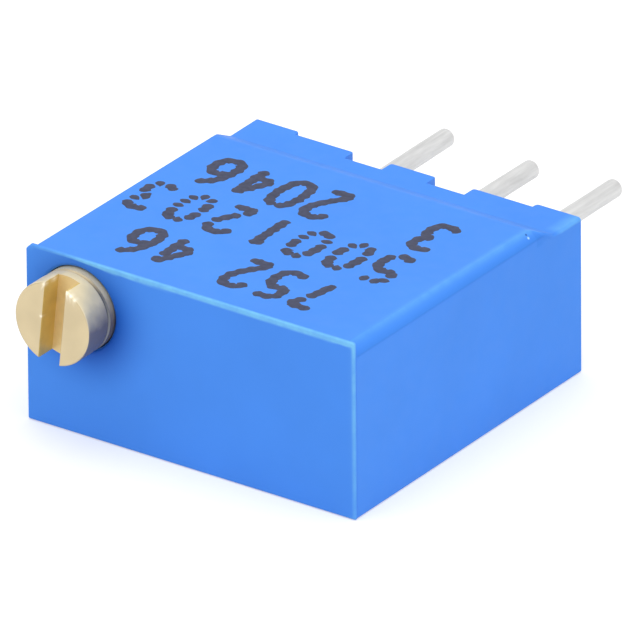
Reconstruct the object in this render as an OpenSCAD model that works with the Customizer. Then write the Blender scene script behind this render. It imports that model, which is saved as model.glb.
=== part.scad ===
// Square multi-turn trimmer potentiometer, worm and wheel type, in millimetres.
// It lies on its unmarked broad face: +Z is up, the screw looks along -Y, the pins along +Y.
// The origin is the centre of the bottom face.

/* [Body] */
// Width of the body across the screw face
body_w = 9.53; // [9.4:0.01:10.2]
// Length of the body from the screw face to the corner feet
body_l = 9.46; // [9.4:0.01:10.4]
// Height of the rim round the screw face
rim_h = 4.69; // [4.6:0.01:5.4]
// Depth of the rim along the body
rim_t = 0.1; // [0.05:0.01:0.2]
// How far the rim stands proud of the sides
rim_side = 0.02; // [0.01:0.01:0.04]
// Drop from the rim to the front of the raised pad
pad_drop = 0.11; // [0.05:0.01:0.2]
// Slope of the raised pad in degrees
pad_slope = 0.6; // [0.3:0.1:1.2]
// Bevel along the pad's edge at the screw's side
bevel_left = 0.16; // [0.1:0.01:0.25]
// Bevel along the pad's other edge, where it starts at the rim
bevel_right = 0.29; // [0.2:0.01:0.35]
// Distance from the rear edge to the top of the ramp
ramp_back = 1.88; // [1.85:0.01:1.95]
// Length of the ramp
ramp_run = 0.75; // [0.5:0.01:0.8]
// Height of the low ledge by the pins, measured down from the rim
ledge_drop = 0.57; // [0.5:0.01:0.6]
// Bevel along the sides of the low ledge
ledge_bevel = 0.05; // [0.03:0.01:0.15]

/* [Walls] */
// Thickness of the side walls
side_t = 0.55; // [0.45:0.01:0.6]
// Thickness of the front wall
front_t = 0.6; // [0.5:0.01:0.7]
// Thickness of the bottom wall
floor_t = 0.5; // [0.4:0.01:0.6]
// Thickness of the top wall over the low ledge
ledge_t = 0.34; // [0.3:0.01:0.4]
// Width of each rib under the ceramic plate
rib_w = 0.6; // [0.4:0.05:1]
// Distance between the two ribs
rib_pitch = 5; // [4:0.1:6]

/* [Rear edge] */
// How far the corner feet stand beyond the blocks
foot_h = 0.17; // [0.1:0.01:0.3]
// Width of each corner foot
foot_w = 1.3; // [1:0.05:1.6]
// Depth of the vents between the blocks
vent_d = 0.39; // [0.2:0.01:0.5]
// Width of each vent
vent_w = 1.1; // [0.8:0.05:1.3]
// Width of the block between the vents
mid_block_w = 1.3; // [0.8:0.05:1.8]
// How far the cast resin lies below the bottom of the vents
resin_drop = 0.03; // [0:0.01:0.1]
// Thickness of the cast resin
resin_t = 0.59; // [0.5:0.01:0.8]

/* [Adjustment screw] */
// Radius of the screw's head and shank
screw_r = 1.065; // [0.95:0.005:1.1]
// Distance from the body's left side to the screw's axis
screw_in = 1.495; // [1.48:0.005:1.6]
// Distance from the top of the rim down to the screw's axis
screw_down = 1.34; // [1.3:0.01:1.4]
// How far the head stands out of the body
head_out = 1.04; // [0.8:0.01:1.3]
// Chamfer round the head's face
head_chamfer = 0.06; // [0.03:0.01:0.1]
// Width of the slot
slot_w = 0.6; // [0.5:0.01:0.7]
// Depth of the slot
slot_d = 0.57; // [0.5:0.01:0.75]
// Angle of the slot as it stands, in degrees from upright
slot_turn = 6.2; // [0:0.1:180]
// Distance from the body to the turned line round the head
line_out = 0.3; // [0.2:0.01:0.4]
// Width of the turned line
line_w = 0.06; // [0.04:0.01:0.1]
// Depth of the turned line
line_d = 0.05; // [0.03:0.01:0.08]
// Length of the shank inside the body
shank_l = 1.4; // [1.3:0.01:1.7]
// Radius of the flange behind the spring clip
flange_r = 0.85; // [0.82:0.01:0.88]
// Length of the flange
flange_t = 0.26; // [0.2:0.01:0.28]
// Radius of the screw's tail
tail_r = 0.42; // [0.35:0.01:0.5]
// Radius of the journal at the screw's end
journal_r = 0.28; // [0.2:0.01:0.3]
// Gap between the journal's end and the cast resin
journal_gap = 0.1; // [0.05:0.01:0.15]
// Length of the collar at the thread's end
collar_l = 0.15; // [0.1:0.01:0.2]

/* [Seal and clip] */
// Thickness of the seal ring's cord
seal_d = 0.37; // [0.3:0.01:0.4]
// Distance from the screw face to the seal ring
seal_in = 0.75; // [0.6:0.01:0.9]
// Clearance all round the seal ring
seal_gap = 0.02; // [0.01:0.005:0.03]
// Thickness of the spring clip
clip_t = 0.25; // [0.2:0.01:0.28]
// Outer radius of the spring clip
clip_r = 1.24; // [1.18:0.01:1.26]
// Radius of the neck that the clip grips
neck_r = 0.58; // [0.5:0.01:0.65]
// Wall of the boss round the shank
boss_t = 0.27; // [0.2:0.01:0.3]

/* [Worm and wheel] */
// Number of teeth on the wheel
teeth = 31; // [27:2:35]
// Gap between the wheel and the front wall
wheel_front_gap = 0.38; // [0.3:0.01:0.6]
// Gap between the wheel and the rear plug
wheel_rear_gap = 0.12; // [0.05:0.01:0.3]
// Least gap between the wheel and the right side wall
wheel_side_gap = 0.53; // [0.3:0.01:0.7]
// Pitch radius of the worm
worm_pr = 0.55; // [0.5:0.01:0.58]
// Thickness of the wheel
wheel_t = 1; // [0.8:0.05:1]
// How far the thread runs past the wheel's axis
worm_reach = 1.95; // [1.7:0.01:2.3]
// Play between the teeth and the thread along the pitch circle
backlash = 0.05; // [0.04:0.005:0.08]
// Gap from the wheel to the ceiling
ceiling_gap = 0.05; // [0.03:0.01:0.1]
// Radius of the pivot post
post_r = 0.6; // [0.5:0.01:0.65]
// Radius of the wheel's hub
hub_r = 1.1; // [1:0.01:1.15]
// Length of the hub below the wheel
hub_l = 0.42; // [0.3:0.01:0.5]
// Turn of the wheel between its stops, in degrees
travel = 270; // [240:1:280]
// Room for the wiper between the wheel and the ceramic plate
wiper_h = 1; // [0.9:0.01:1.1]
// Radius of the stop groove's middle
stop_at = 1.5; // [1.4:0.01:1.7]
// Radius of the stop peg
stop_r = 0.2; // [0.15:0.01:0.25]
// Depth of the stop groove
stop_d = 0.4; // [0.3:0.01:0.5]
// Clearance round the stop peg
stop_gap = 0.05; // [0.03:0.01:0.1]

/* [Wiper] */
// Thickness of the spring sheet
sheet_t = 0.08; // [0.06:0.005:0.1]
// Outer radius of the ring part
wiper_r = 1.5; // [1.45:0.01:1.6]
// Width of the strip that carries the fingers
arm_w = 0.32; // [0.25:0.01:0.4]
// Width of the finger on the resistive track
finger_w = 0.3; // [0.2:0.01:0.35]
// Width of the finger on the collector track
inner_finger_w = 0.24; // [0.2:0.01:0.26]
// Gap drawn between the fingers and the tracks
touch_gap = 0.02; // [0.01:0.005:0.03]
// Gap between the hub and the strip that carries the fingers
arm_gap = 0.1; // [0.05:0.01:0.15]
// Length of the flat root of each finger
finger_flat = 0.3; // [0.2:0.01:0.4]
// Length of the flat that slides on the track
contact_l = 0.2; // [0.1:0.01:0.3]
// Length of the upturned tip of each finger
tip_run = 0.2; // [0.1:0.01:0.25]
// Height of the upturned tip of each finger
tip_rise = 0.18; // [0.1:0.01:0.25]

/* [Ceramic plate] */
// Thickness of the ceramic plate
plate_t = 0.5; // [0.4:0.01:0.8]
// Gap round the plate
plate_gap = 0.06; // [0.03:0.01:0.15]
// Thickness of the printed tracks
track_t = 0.03; // [0.02:0.005:0.05]
// Inner edge of the collector ring, as a share of the way from the post to the tooth roots
ring_from = 0.2; // [0.15:0.01:0.25]
// Outer edge of the collector ring, as such a share
ring_to = 0.42; // [0.35:0.01:0.45]
// Inner edge of the resistive arc, as such a share
arc_from = 0.64; // [0.6:0.01:0.7]
// Outer edge of the resistive arc, as such a share
arc_to = 0.91; // [0.85:0.01:0.95]
// How far the arc runs past the wiper at each end, in degrees
track_past = 8; // [5:1:12]
// Width of the printed leads
lead_w = 0.4; // [0.3:0.01:0.45]
// How far the curved end of each outer lead runs out past the arc
lead_lap = 0.04; // [0.02:0.01:0.1]
// Width of the pad under each pin
pad_w = 0.9; // [0.8:0.01:1.1]
// Length of the pad under each pin
pad_l = 1; // [0.9:0.01:1.1]

/* [Pins] */
// Distance between neighbouring pins
pin_pitch = 2.54; // [2.5:0.01:2.6]
// Radius of the round pins
pin_r = 0.24; // [0.22:0.005:0.27]
// Width of the squared neck that the resin grips, as a share of the largest square in the wire
neck_share = 0.97; // [0.9:0.01:0.99]
// How far the squared neck reaches out of the cast resin
neck_out = 0.16; // [0.06:0.01:0.2]
// How far the pins reach beyond the corner feet
pin_out = 4.81; // [3:0.01:6]
// Difference of reach between neighbouring pins
pin_step = 0.08; // [0:0.01:0.15]
// Radius of the rounding at the pins' tips
tip_round = 0.15; // [0.05:0.01:0.2]
// Length of each pin in front of the plug
pin_in = 0.36; // [0.3:0.01:0.4]
// Radius of the solder dome at each pin's inner end
solder_r = 0.4; // [0.35:0.01:0.45]
// Thickness of the solder film under each pin
solder_film = 0.02; // [0.01:0.005:0.04]
// Thickness of the rear plug
plug_t = 0.58; // [0.5:0.01:0.6]
// Clearance round the rear plug
plug_gap = 0.02; // [0.01:0.005:0.05]

/* [Fits] */
// Radial clearance of the screw in its boss
shank_gap = 0.035; // [0.02:0.005:0.05]
// Radial clearance of the small running fits
run_gap = 0.03; // [0.02:0.005:0.04]
// Gap between the worm and the ceiling of its bay
bay_gap = 0.06; // [0.04:0.01:0.1]

/* [Hidden] */
$fn = 96;
over = 0.5;             // how far a cut runs past the surface it opens
slices_per_turn = 11;   // facets of the thread along one turn
flank_steps = 3;        // facets across each flank of the thread

// Planes along Y
front_y = -body_l / 2;
foot_y = body_l / 2;
block_y = foot_y - foot_h;
vent_y = block_y - vent_d;
resin_y = vent_y - resin_drop;
plug_end_y = resin_y - resin_t;
plug_y = plug_end_y - plug_t;
boss_y = front_y + shank_l;
ramp_y = foot_y - ramp_back;

// Planes along X
half_w = body_w / 2;
inner_x = half_w - side_t;
screw_x = -half_w + screw_in;

// The worm and the wheel: the teeth are as large as the room in the body's length and width lets them be
wheel_front_y = front_y + front_t + wheel_front_gap;
wheel_rear_y = plug_y - wheel_rear_gap;
wheel_y = (wheel_front_y + wheel_rear_y) / 2;
room_l = wheel_rear_y - wheel_front_y;
room_w = inner_x - wheel_side_gap - screw_x - worm_pr;
module_mm = min(room_l / (teeth + 2), room_w / (teeth + 1));
pitch = PI * module_mm;
addendum = module_mm;
dedendum = 1.25 * module_mm;
wheel_pr = teeth * module_mm / 2;
wheel_tip_r = wheel_pr + addendum;
wheel_root_r = wheel_pr - dedendum;
worm_tip_r = worm_pr + addendum;
worm_root_r = worm_pr - dedendum;
lead_angle = atan(pitch / (2 * PI * worm_pr));
flank = 20;
tooth_half = (pitch / 2 - backlash) / 2;
tooth_root_half = tooth_half + dedendum * tan(flank);
tooth_tip_half = tooth_half - addendum * tan(flank);
wheel_x = screw_x + worm_pr + wheel_pr;

// Heights
screw_z = rim_h - screw_down;
ledge_z = rim_h - ledge_drop;
pad_z = rim_h - pad_drop;
pad_rear_z = pad_z - (ramp_y - front_y) * tan(pad_slope);
wheel_z = screw_z - wheel_t / 2;
wheel_top_z = screw_z + wheel_t / 2;
ceiling_z = wheel_top_z + ceiling_gap;
bay_z = screw_z + worm_tip_r + bay_gap;
rear_ceiling_z = ledge_z - ledge_t;
plate_top_z = wheel_z - wiper_h;
plate_z = plate_top_z - plate_t;
track_z = plate_top_z + track_t;
pin_z = track_z + solder_film + pin_r;
neck_w = neck_share * sqrt(2) * pin_r;
hub_z = wheel_z - hub_l;

// The screw's stations, measured from the face of its head
head_y = front_y - head_out;
line_s = head_out - line_out;
seal_s = head_out + seal_in;
shank_s = head_out + shank_l;
neck_s = shank_s + clip_t + run_gap;
flange_s = neck_s + flange_t;
worm_end_s = wheel_y + worm_reach - head_y;
tail_s = worm_end_s + collar_l;
plug_s = plug_y - head_y;
screw_end_s = plug_end_y - head_y - journal_gap;
seal_mid_r = screw_r + shank_gap - seal_gap - seal_d / 2;
seal_groove_r = seal_mid_r - seal_d / 2 - seal_gap;
bore_r = screw_r + shank_gap;

// The stop and the arc
stop_play = asin((stop_r + stop_gap) / stop_at);
groove_sweep = travel + 2 * stop_play;
arc_sweep = travel + 2 * track_past;
room_r = wheel_root_r - post_r;
arc_in = post_r + arc_from * room_r;
arc_out = post_r + arc_to * room_r;
track_at = (arc_in + arc_out) / 2;
ring_in = post_r + ring_from * room_r;
ring_out = post_r + ring_to * room_r;
collector_at = (ring_in + ring_out) / 2;
pin_in_y = plug_y - pin_in;
arm_x = -hub_r - arm_gap;

// Lays a shape that is drawn along +Z down along +Y, from the point given
module lying(x, y, z) {
    translate([x, y, z])
        rotate([-90, 0, 0])
            children();
}

// A block from one corner to the other
module block(low, high) {
    translate(low)
        cube(high - low);
}

// A flat ring or arc on the plane Z = 0, its middle at -Y
module arc(r0, r1, sweep, h) {
    rotate([0, 0, -90 - sweep / 2])
        rotate_extrude(angle = sweep)
            translate([r0, 0])
                square([r1 - r0, h]);
}

// A straight printed strip from one point to another
module strip(from, to, w) {
    run = to - from;
    translate(from)
        rotate(atan2(run.y, run.x))
            translate([0, -w / 2])
                square([norm(run), w]);
}

// The body's plan, with the corner feet, the blocks and the vents of its rear edge
module plan() {
    w = half_w - rim_side;
    half = [[0, block_y], [mid_block_w / 2, block_y], [mid_block_w / 2, vent_y],
        [mid_block_w / 2 + vent_w, vent_y], [mid_block_w / 2 + vent_w, block_y],
        [half_w - foot_w, block_y], [half_w - foot_w, foot_y], [w, foot_y], [w, front_y]];
    polygon(concat(half, [for (i = [len(half) - 1:-1:1]) [-half[i].x, half[i].y]]));
}

// Draws a section that looks along the body, with its heights turned down, and runs it past both ends
module along_body(height, slope) {
    translate([0, front_y, height])
        rotate([-90 - slope, 0, 0])
            translate([0, 0, -over])
                linear_extrude(body_l + 2 * over)
                    children();
}

// The raised pad: its top and its left bevel slope down to the rear, the right bevel's lower edge is level
module roof() {
    w = half_w - rim_side;
    intersection() {
        along_body(pad_z, pad_slope)
            polygon([[-w + bevel_left, 0], [w, 0], [w, 2 * rim_h], [-w, 2 * rim_h], [-w, bevel_left]]);
        along_body(pad_z, 0)
            polygon([[-w, -rim_h], [w - bevel_right - rim_h, -rim_h], [w, bevel_right], [w, 2 * rim_h],
                [-w, 2 * rim_h]]);
    }
}

// What is cut away over the ramp and the low ledge
module ledge_cut() {
    rise = (pad_rear_z - ledge_z) / ramp_run;
    far = foot_y + over;
    rotate([90, 0, 90])
        translate([0, 0, -body_w])
            linear_extrude(2 * body_w)
                polygon([[ramp_y - over, pad_rear_z + over * rise], [ramp_y + ramp_run, ledge_z],
                    [far, ledge_z], [far, 2 * rim_h], [ramp_y - over, 2 * rim_h]]);
    for (side = [-1, 1])
        translate([side * (half_w - rim_side), ramp_y + ramp_run, ledge_z])
            rotate([0, 45, 0])
                translate([-ledge_bevel / sqrt(2), 0, -ledge_bevel / sqrt(2)])
                    cube([sqrt(2) * ledge_bevel, body_l, sqrt(2) * ledge_bevel]);
}

module outer_form() {
    difference() {
        intersection() {
            linear_extrude(2 * rim_h)
                plan();
            roof();
        }
        ledge_cut();
    }
    block([-half_w, front_y, 0], [half_w, front_y + rim_t, rim_h]);
}

// The space inside the cup: the wheel's room, the worm's bay and the mouth by the pins
module cavity() {
    step_y = wheel_y + wheel_tip_r + run_gap;
    block([-inner_x, front_y + front_t, floor_t], [inner_x, step_y, ceiling_z]);
    block([-inner_x, front_y + front_t, floor_t], [inner_x, foot_y + over, rear_ceiling_z]);
    block([-inner_x, boss_y, floor_t], [screw_x + flange_r + bay_gap, step_y - over, bay_z]);
}

// What is moulded inside the cup: the screw's boss, the wheel's post, the stop peg and the ribs
module inner_features() {
    lying(screw_x, front_y + front_t - over, screw_z)
        cylinder(r = bore_r + boss_t, h = shank_l - front_t + over);
    translate([wheel_x, wheel_y, hub_z - run_gap])
        cylinder(r = post_r, h = bay_z);
    translate([wheel_x, wheel_y + stop_at, wheel_top_z - stop_d + stop_gap])
        cylinder(r = stop_r, h = bay_z);
    for (side = [-1, 1])
        translate([side * rib_pitch / 2 - rib_w / 2, front_y, 0])
            cube([rib_w, plug_end_y - front_y, plate_z]);
}

module housing() {
    color("dodgerblue")
        difference() {
            outer_form();
            difference() {
                cavity();
                inner_features();
            }
            lying(screw_x, front_y - over, screw_z)
                cylinder(r = bore_r, h = shank_l + 2 * over);
        }
}

// The worm's section at right angles to its axis: the crest, the two flanks and the root.
// A distance a along the thread shows in the section as the angle 360 * a / pitch.
module worm_section() {
    crest = 360 * tooth_tip_half / pitch;
    root = 360 * tooth_root_half / pitch;
    side = [for (i = [0:flank_steps])
        let (share = i / flank_steps)
            [worm_tip_r + (worm_root_r - worm_tip_r) * share, crest + (root - crest) * share]];
    ring = concat([[worm_tip_r, 0]], side, [[worm_root_r, 180]],
        [for (i = [flank_steps:-1:0]) [side[i][0], -side[i][1]]]);
    polygon([for (p = ring) [p[0] * cos(p[1]), p[0] * sin(p[1])]]);
}

// The right-hand thread, with a crest towards the wheel at the wheel's own centre line
module worm() {
    start = head_y + flange_s - run_gap - wheel_y;
    length = worm_end_s - flange_s + 2 * run_gap;
    lying(screw_x, wheel_y, screw_z)
        translate([0, 0, start])
            rotate(360 * start / pitch)
                linear_extrude(length, twist = -360 * length / pitch,
                    slices = ceil(slices_per_turn * length / pitch), $fn = 3)
                    worm_section();
}

// The turned profile of the screw, from its face to the flange
module screw_front() {
    g = seal_d / 2 + seal_gap;
    rotate_extrude()
        polygon([[0, 0], [screw_r - head_chamfer, 0], [screw_r, head_chamfer],
            [screw_r, line_s - line_w], [screw_r - line_d, line_s - line_w / 2], [screw_r, line_s],
            [screw_r, seal_s - g], [seal_groove_r, seal_s - g], [seal_groove_r, seal_s + g],
            [screw_r, seal_s + g], [screw_r, shank_s], [neck_r, shank_s], [neck_r, neck_s],
            [flange_r, neck_s], [flange_r, flange_s], [0, flange_s]]);
}

module screw_rear() {
    rotate_extrude()
        polygon([[0, worm_end_s], [worm_tip_r + run_gap, worm_end_s], [worm_tip_r + run_gap, tail_s],
            [tail_r, tail_s], [tail_r, plug_s - run_gap], [journal_r, plug_s - run_gap],
            [journal_r, screw_end_s], [0, screw_end_s]]);
}

module adjustment_screw() {
    color("gold") {
        difference() {
            lying(screw_x, head_y, screw_z)
                screw_front();
            translate([screw_x, head_y, screw_z])
                rotate([0, slot_turn, 0])
                    translate([-slot_w / 2, -over, -2 * screw_r])
                        cube([slot_w, slot_d + over, 4 * screw_r]);
        }
        worm();
        lying(screw_x, head_y, screw_z)
            screw_rear();
    }
}

module seal_ring() {
    color("dimgray")
        lying(screw_x, head_y + seal_s, screw_z)
            rotate_extrude()
                translate([seal_mid_r, 0])
                    circle(d = seal_d);
}

// The clip's slot opens upwards: in its own plane that is towards -Y
module screw_retainer() {
    top = bay_z - screw_z - bay_gap;
    left = inner_x + screw_x - bay_gap;
    color("silver")
        lying(screw_x, boss_y, screw_z)
            linear_extrude(clip_t)
                difference() {
                    intersection() {
                        circle(r = clip_r);
                        translate([-left, -top])
                            square([left + clip_r, top + clip_r]);
                    }
                    circle(r = neck_r + run_gap);
                    translate([-neck_r - run_gap, -2 * clip_r])
                        square([2 * (neck_r + run_gap), 2 * clip_r]);
                }
}

// One tooth of the wheel, leaning at the worm's lead angle
module tooth() {
    rotate([-lead_angle, 0, 0])
        linear_extrude(2 * wheel_t, center = true)
            polygon([[wheel_root_r - dedendum / 2, -tooth_root_half], [wheel_root_r, -tooth_root_half],
                [wheel_tip_r, -tooth_tip_half], [wheel_tip_r, tooth_tip_half],
                [wheel_root_r, tooth_root_half], [wheel_root_r - dedendum / 2, tooth_root_half]]);
}

module gear_rotor() {
    color("ivory")
        translate([wheel_x, wheel_y, 0])
            difference() {
                union() {
                    intersection() {
                        translate([0, 0, screw_z]) {
                            cylinder(r = wheel_root_r, h = wheel_t, center = true);
                            for (i = [0:teeth - 1])
                                rotate(360 * i / teeth)
                                    tooth();
                        }
                        translate([0, 0, wheel_z])
                            cylinder(r = wheel_tip_r + over, h = wheel_t);
                    }
                    translate([0, 0, hub_z])
                        cylinder(r = hub_r, h = hub_l + run_gap);
                }
                translate([0, 0, hub_z - over])
                    cylinder(r = post_r + run_gap, h = wheel_t + hub_l + 2 * over);
                translate([0, 0, wheel_top_z - stop_d])
                    rotate(180)
                        arc(stop_at - stop_r - stop_gap, stop_at + stop_r + stop_gap,
                            groove_sweep, stop_d + over);
            }
}

// A finger seen from its side: flat at its root, down to the track, and up again at its tip
module finger(y, w) {
    rise = wheel_z - sheet_t - track_z - touch_gap;
    line = [[arm_x, rise], [arm_x + finger_flat, rise], [-contact_l / 2, 0], [contact_l / 2, 0],
        [contact_l / 2 + tip_run, tip_rise]];
    translate([0, y + w / 2, track_z + touch_gap])
        rotate([90, 0, 0])
            linear_extrude(w)
                polygon(concat(line,
                    [for (i = [len(line) - 1:-1:0]) [line[i].x, line[i].y + sheet_t]]));
}

module wiper_spring() {
    color("goldenrod")
        translate([wheel_x, wheel_y, 0]) {
            translate([0, 0, wheel_z - sheet_t])
                linear_extrude(sheet_t) {
                    difference() {
                        circle(r = wiper_r);
                        circle(r = hub_r + run_gap);
                        translate([arm_x, -2 * wiper_r])
                            square([4 * wiper_r, 2 * wiper_r]);
                    }
                    translate([arm_x - arm_w, -track_at - finger_w / 2])
                        square([arm_w, track_at + finger_w / 2]);
                }
            finger(-track_at, finger_w);
            finger(-collector_at, inner_finger_w);
        }
}

module ceramic_substrate() {
    color("white")
        block([-inner_x + plate_gap, front_y + front_t + plate_gap, plate_z],
            [inner_x - plate_gap, plug_end_y, plate_top_z]);
}

module resistive_track() {
    color("black")
        translate([wheel_x, wheel_y, plate_top_z])
            arc(arc_in, arc_out, arc_sweep, track_t);
}

module collector_track() {
    color("silver")
        translate([0, 0, plate_top_z])
            linear_extrude(track_t) {
                difference() {
                    union() {
                        translate([wheel_x, wheel_y])
                            circle(r = ring_out);
                        strip([wheel_x, wheel_y], [0, pin_in_y], lead_w);
                        translate([-pad_w / 2, pin_in_y - pad_l / 2])
                            square([pad_w, pad_l]);
                    }
                    translate([wheel_x, wheel_y])
                        circle(r = ring_in);
                }
            }
}

// The printed lead from one end of the arc to an outer pin; side is -1 or 1
module end_conductor(side) {
    overlap = lead_w / track_at * 180 / PI;
    a = 90 + side * (arc_sweep / 2 + overlap / 2 - 180);
    end = [wheel_x + track_at * cos(a), wheel_y + track_at * sin(a)];
    color("silver")
        translate([0, 0, plate_top_z]) {
            linear_extrude(track_t)
                difference() {
                    union() {
                        strip(end, [side * pin_pitch, pin_in_y], lead_w);
                        translate([side * pin_pitch - pad_w / 2, pin_in_y - pad_l / 2])
                            square([pad_w, pad_l]);
                    }
                    translate([wheel_x, wheel_y])
                        circle(r = arc_out);
                }
            translate([wheel_x, wheel_y, 0])
                rotate(a + 90)
                    arc(arc_in, arc_out + lead_lap, overlap, track_t);
        }
}

module end_conductor_1() {
    end_conductor(-1);
}

module end_conductor_3() {
    end_conductor(1);
}

// The stretch of a pin that is squared; i is -1, 0 or 1 from left to right
module pin_neck(i, from_y, to_y, w) {
    block([i * pin_pitch - w / 2, from_y, pin_z - w / 2], [i * pin_pitch + w / 2, to_y, pin_z + w / 2]);
}

// A round pin with a squared neck and a rounded tip
module terminal_pin(i) {
    length = foot_y + pin_out - i * pin_step - pin_in_y;
    neck_end_y = resin_y + neck_out;
    tip = [for (a = [0:15:90])
        [pin_r - tip_round + tip_round * cos(a), length - tip_round + tip_round * sin(a)]];
    color("lightgray")
        difference() {
            lying(i * pin_pitch, pin_in_y, pin_z)
                rotate_extrude()
                    polygon(concat([[0, 0], [pin_r, 0]], tip, [[0, length]]));
            difference() {
                pin_neck(i, plug_end_y, neck_end_y, 4 * pin_r);
                pin_neck(i, plug_end_y - over, neck_end_y + over, neck_w);
            }
        }
}

module terminal_pin_1() {
    terminal_pin(-1);
}

module terminal_pin_2() {
    terminal_pin(0);
}

module terminal_pin_3() {
    terminal_pin(1);
}

// A dome of solder over the pin's inner end, standing on the printed pad
module solder_joint(i) {
    color("gray")
        difference() {
            translate([i * pin_pitch, pin_in_y, track_z])
                rotate_extrude()
                    polygon(concat([[0, 0]],
                        [for (a = [0:15:90]) [solder_r * cos(a), solder_r * sin(a)]]));
            lying(i * pin_pitch, pin_in_y, pin_z)
                cylinder(r = pin_r, h = solder_r + over);
        }
}

module solder_joint_1() {
    solder_joint(-1);
}

module solder_joint_2() {
    solder_joint(0);
}

module solder_joint_3() {
    solder_joint(1);
}

// The plug bridges the pins and holds the screw's journal
module rear_plug() {
    color("darkslategray")
        difference() {
            block([-inner_x + plug_gap, plug_y, track_z + plug_gap],
                [inner_x - plug_gap, plug_end_y, rear_ceiling_z - plug_gap]);
            for (i = [-1:1])
                block([i * pin_pitch - pin_r - plug_gap, plug_y - over, track_z - over],
                    [i * pin_pitch + pin_r + plug_gap, plug_end_y + over, pin_z + pin_r + plug_gap]);
            lying(screw_x, plug_y - over, screw_z)
                cylinder(r = journal_r + run_gap, h = plug_t + 2 * over);
        }
}

module potting_seal() {
    color("midnightblue")
        difference() {
            block([-inner_x, plug_end_y, floor_t], [inner_x, resin_y, rear_ceiling_z]);
            for (i = [-1:1])
                pin_neck(i, plug_end_y - over, resin_y + over, neck_w);
        }
}

housing();
adjustment_screw();
seal_ring();
screw_retainer();
gear_rotor();
wiper_spring();
ceramic_substrate();
resistive_track();
collector_track();
end_conductor_1();
end_conductor_3();
terminal_pin_1();
terminal_pin_2();
terminal_pin_3();
solder_joint_1();
solder_joint_2();
solder_joint_3();
rear_plug();
potting_seal();
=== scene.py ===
"""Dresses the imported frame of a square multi-turn trimmer potentiometer.

The part lies on its unmarked broad face: +Z is up, the screw looks along -Y and the pins point along +Y.
Lengths in this file are in millimetres, as in the part's source, and become metres where a mesh is made.
"""

import logging
import math
from collections.abc import Callable
from dataclasses import dataclass, field
from enum import Enum

import bmesh
import bpy
import numpy as np
from mathutils import Matrix, Vector


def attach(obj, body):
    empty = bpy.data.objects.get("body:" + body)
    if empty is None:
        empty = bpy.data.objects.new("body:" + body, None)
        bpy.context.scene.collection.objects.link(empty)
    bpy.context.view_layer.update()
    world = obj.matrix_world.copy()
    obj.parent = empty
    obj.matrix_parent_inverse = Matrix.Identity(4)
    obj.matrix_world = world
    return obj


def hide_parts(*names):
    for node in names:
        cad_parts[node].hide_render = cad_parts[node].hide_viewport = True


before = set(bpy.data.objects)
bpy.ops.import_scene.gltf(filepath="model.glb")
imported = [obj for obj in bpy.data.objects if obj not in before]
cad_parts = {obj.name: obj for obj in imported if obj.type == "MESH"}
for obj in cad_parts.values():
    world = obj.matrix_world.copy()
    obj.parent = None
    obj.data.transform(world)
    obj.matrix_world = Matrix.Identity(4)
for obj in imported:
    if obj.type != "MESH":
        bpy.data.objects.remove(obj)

Pair = tuple[float, float]
Place = tuple[float, float, float]
Four = tuple[float, float, float, float]
Colour = tuple[float, float, float]
Socket = bpy.types.NodeSocket
Value = Socket | float | tuple

MM = 0.001
MERGED = 0.0005  # points of a piece closer than this many millimetres become one
SCREW_AXIS: Pair = (-3.27, 3.35)  # the X and the Z of the screw's axis
MARK = "mark"  # the attribute that tells a finish where its piece carries painted light: pale for painted highlights and glints, dark for painted shade
NOISE_SPAN: Pair = (0.3, 0.7)  # most of a noise lies between these values
LOG = logging.getLogger("trimmer")


# Surfaces


@dataclass(frozen=True)
class Surface:
    """A mesh worked out with numpy: its points in millimetres and its four-sided faces."""

    points: np.ndarray
    quads: np.ndarray

    @staticmethod
    def from_rows(rows: np.ndarray, wrap: bool = False) -> "Surface":
        """Joins rows of points, each a closed loop, into one skin.

        Vertex (i, j) has the number i * n + j, and each face is (i, j), (i, j+1), (i+1, j+1), (i+1, j).

        Args:
            rows: points of shape (number of rows, points in a row, 3).
            wrap: whether the last row joins the first.

        Returns:
            The skin.
        """
        count, n = rows.shape[:2]
        i = np.arange(count if wrap else count - 1)[:, None]
        j = np.arange(n)[None, :]
        after, below = (j + 1) % n, (i + 1) % count
        quads = np.stack([i * n + j, i * n + after, below * n + after, below * n + j], -1)
        return Surface(rows.reshape(-1, 3), quads.reshape(-1, 4)).outward()

    def outward(self) -> "Surface":
        """Turns the faces over if they enclose a negative volume.

        Formula: volume = sum of a . (b x c) / 6 over the triangles (a, b, c).

        Returns:
            The surface, with its faces outwards.
        """
        a, b, c, d = (self.points[self.quads[:, k]] for k in range(4))
        volume = np.sum(a * np.cross(b, c)) + np.sum(a * np.cross(c, d))
        return self if volume >= 0 else Surface(self.points, self.quads[:, ::-1])

    @staticmethod
    def joined(parts: list["Surface"]) -> "Surface":
        """Puts several surfaces into one mesh, unjoined.

        Args:
            parts: the surfaces.

        Returns:
            One surface that holds them all.
        """
        starts = np.cumsum([0] + [len(p.points) for p in parts[:-1]])
        quads = np.concatenate([p.quads + start for p, start in zip(parts, starts)])
        return Surface(np.concatenate([p.points for p in parts]), quads)


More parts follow.
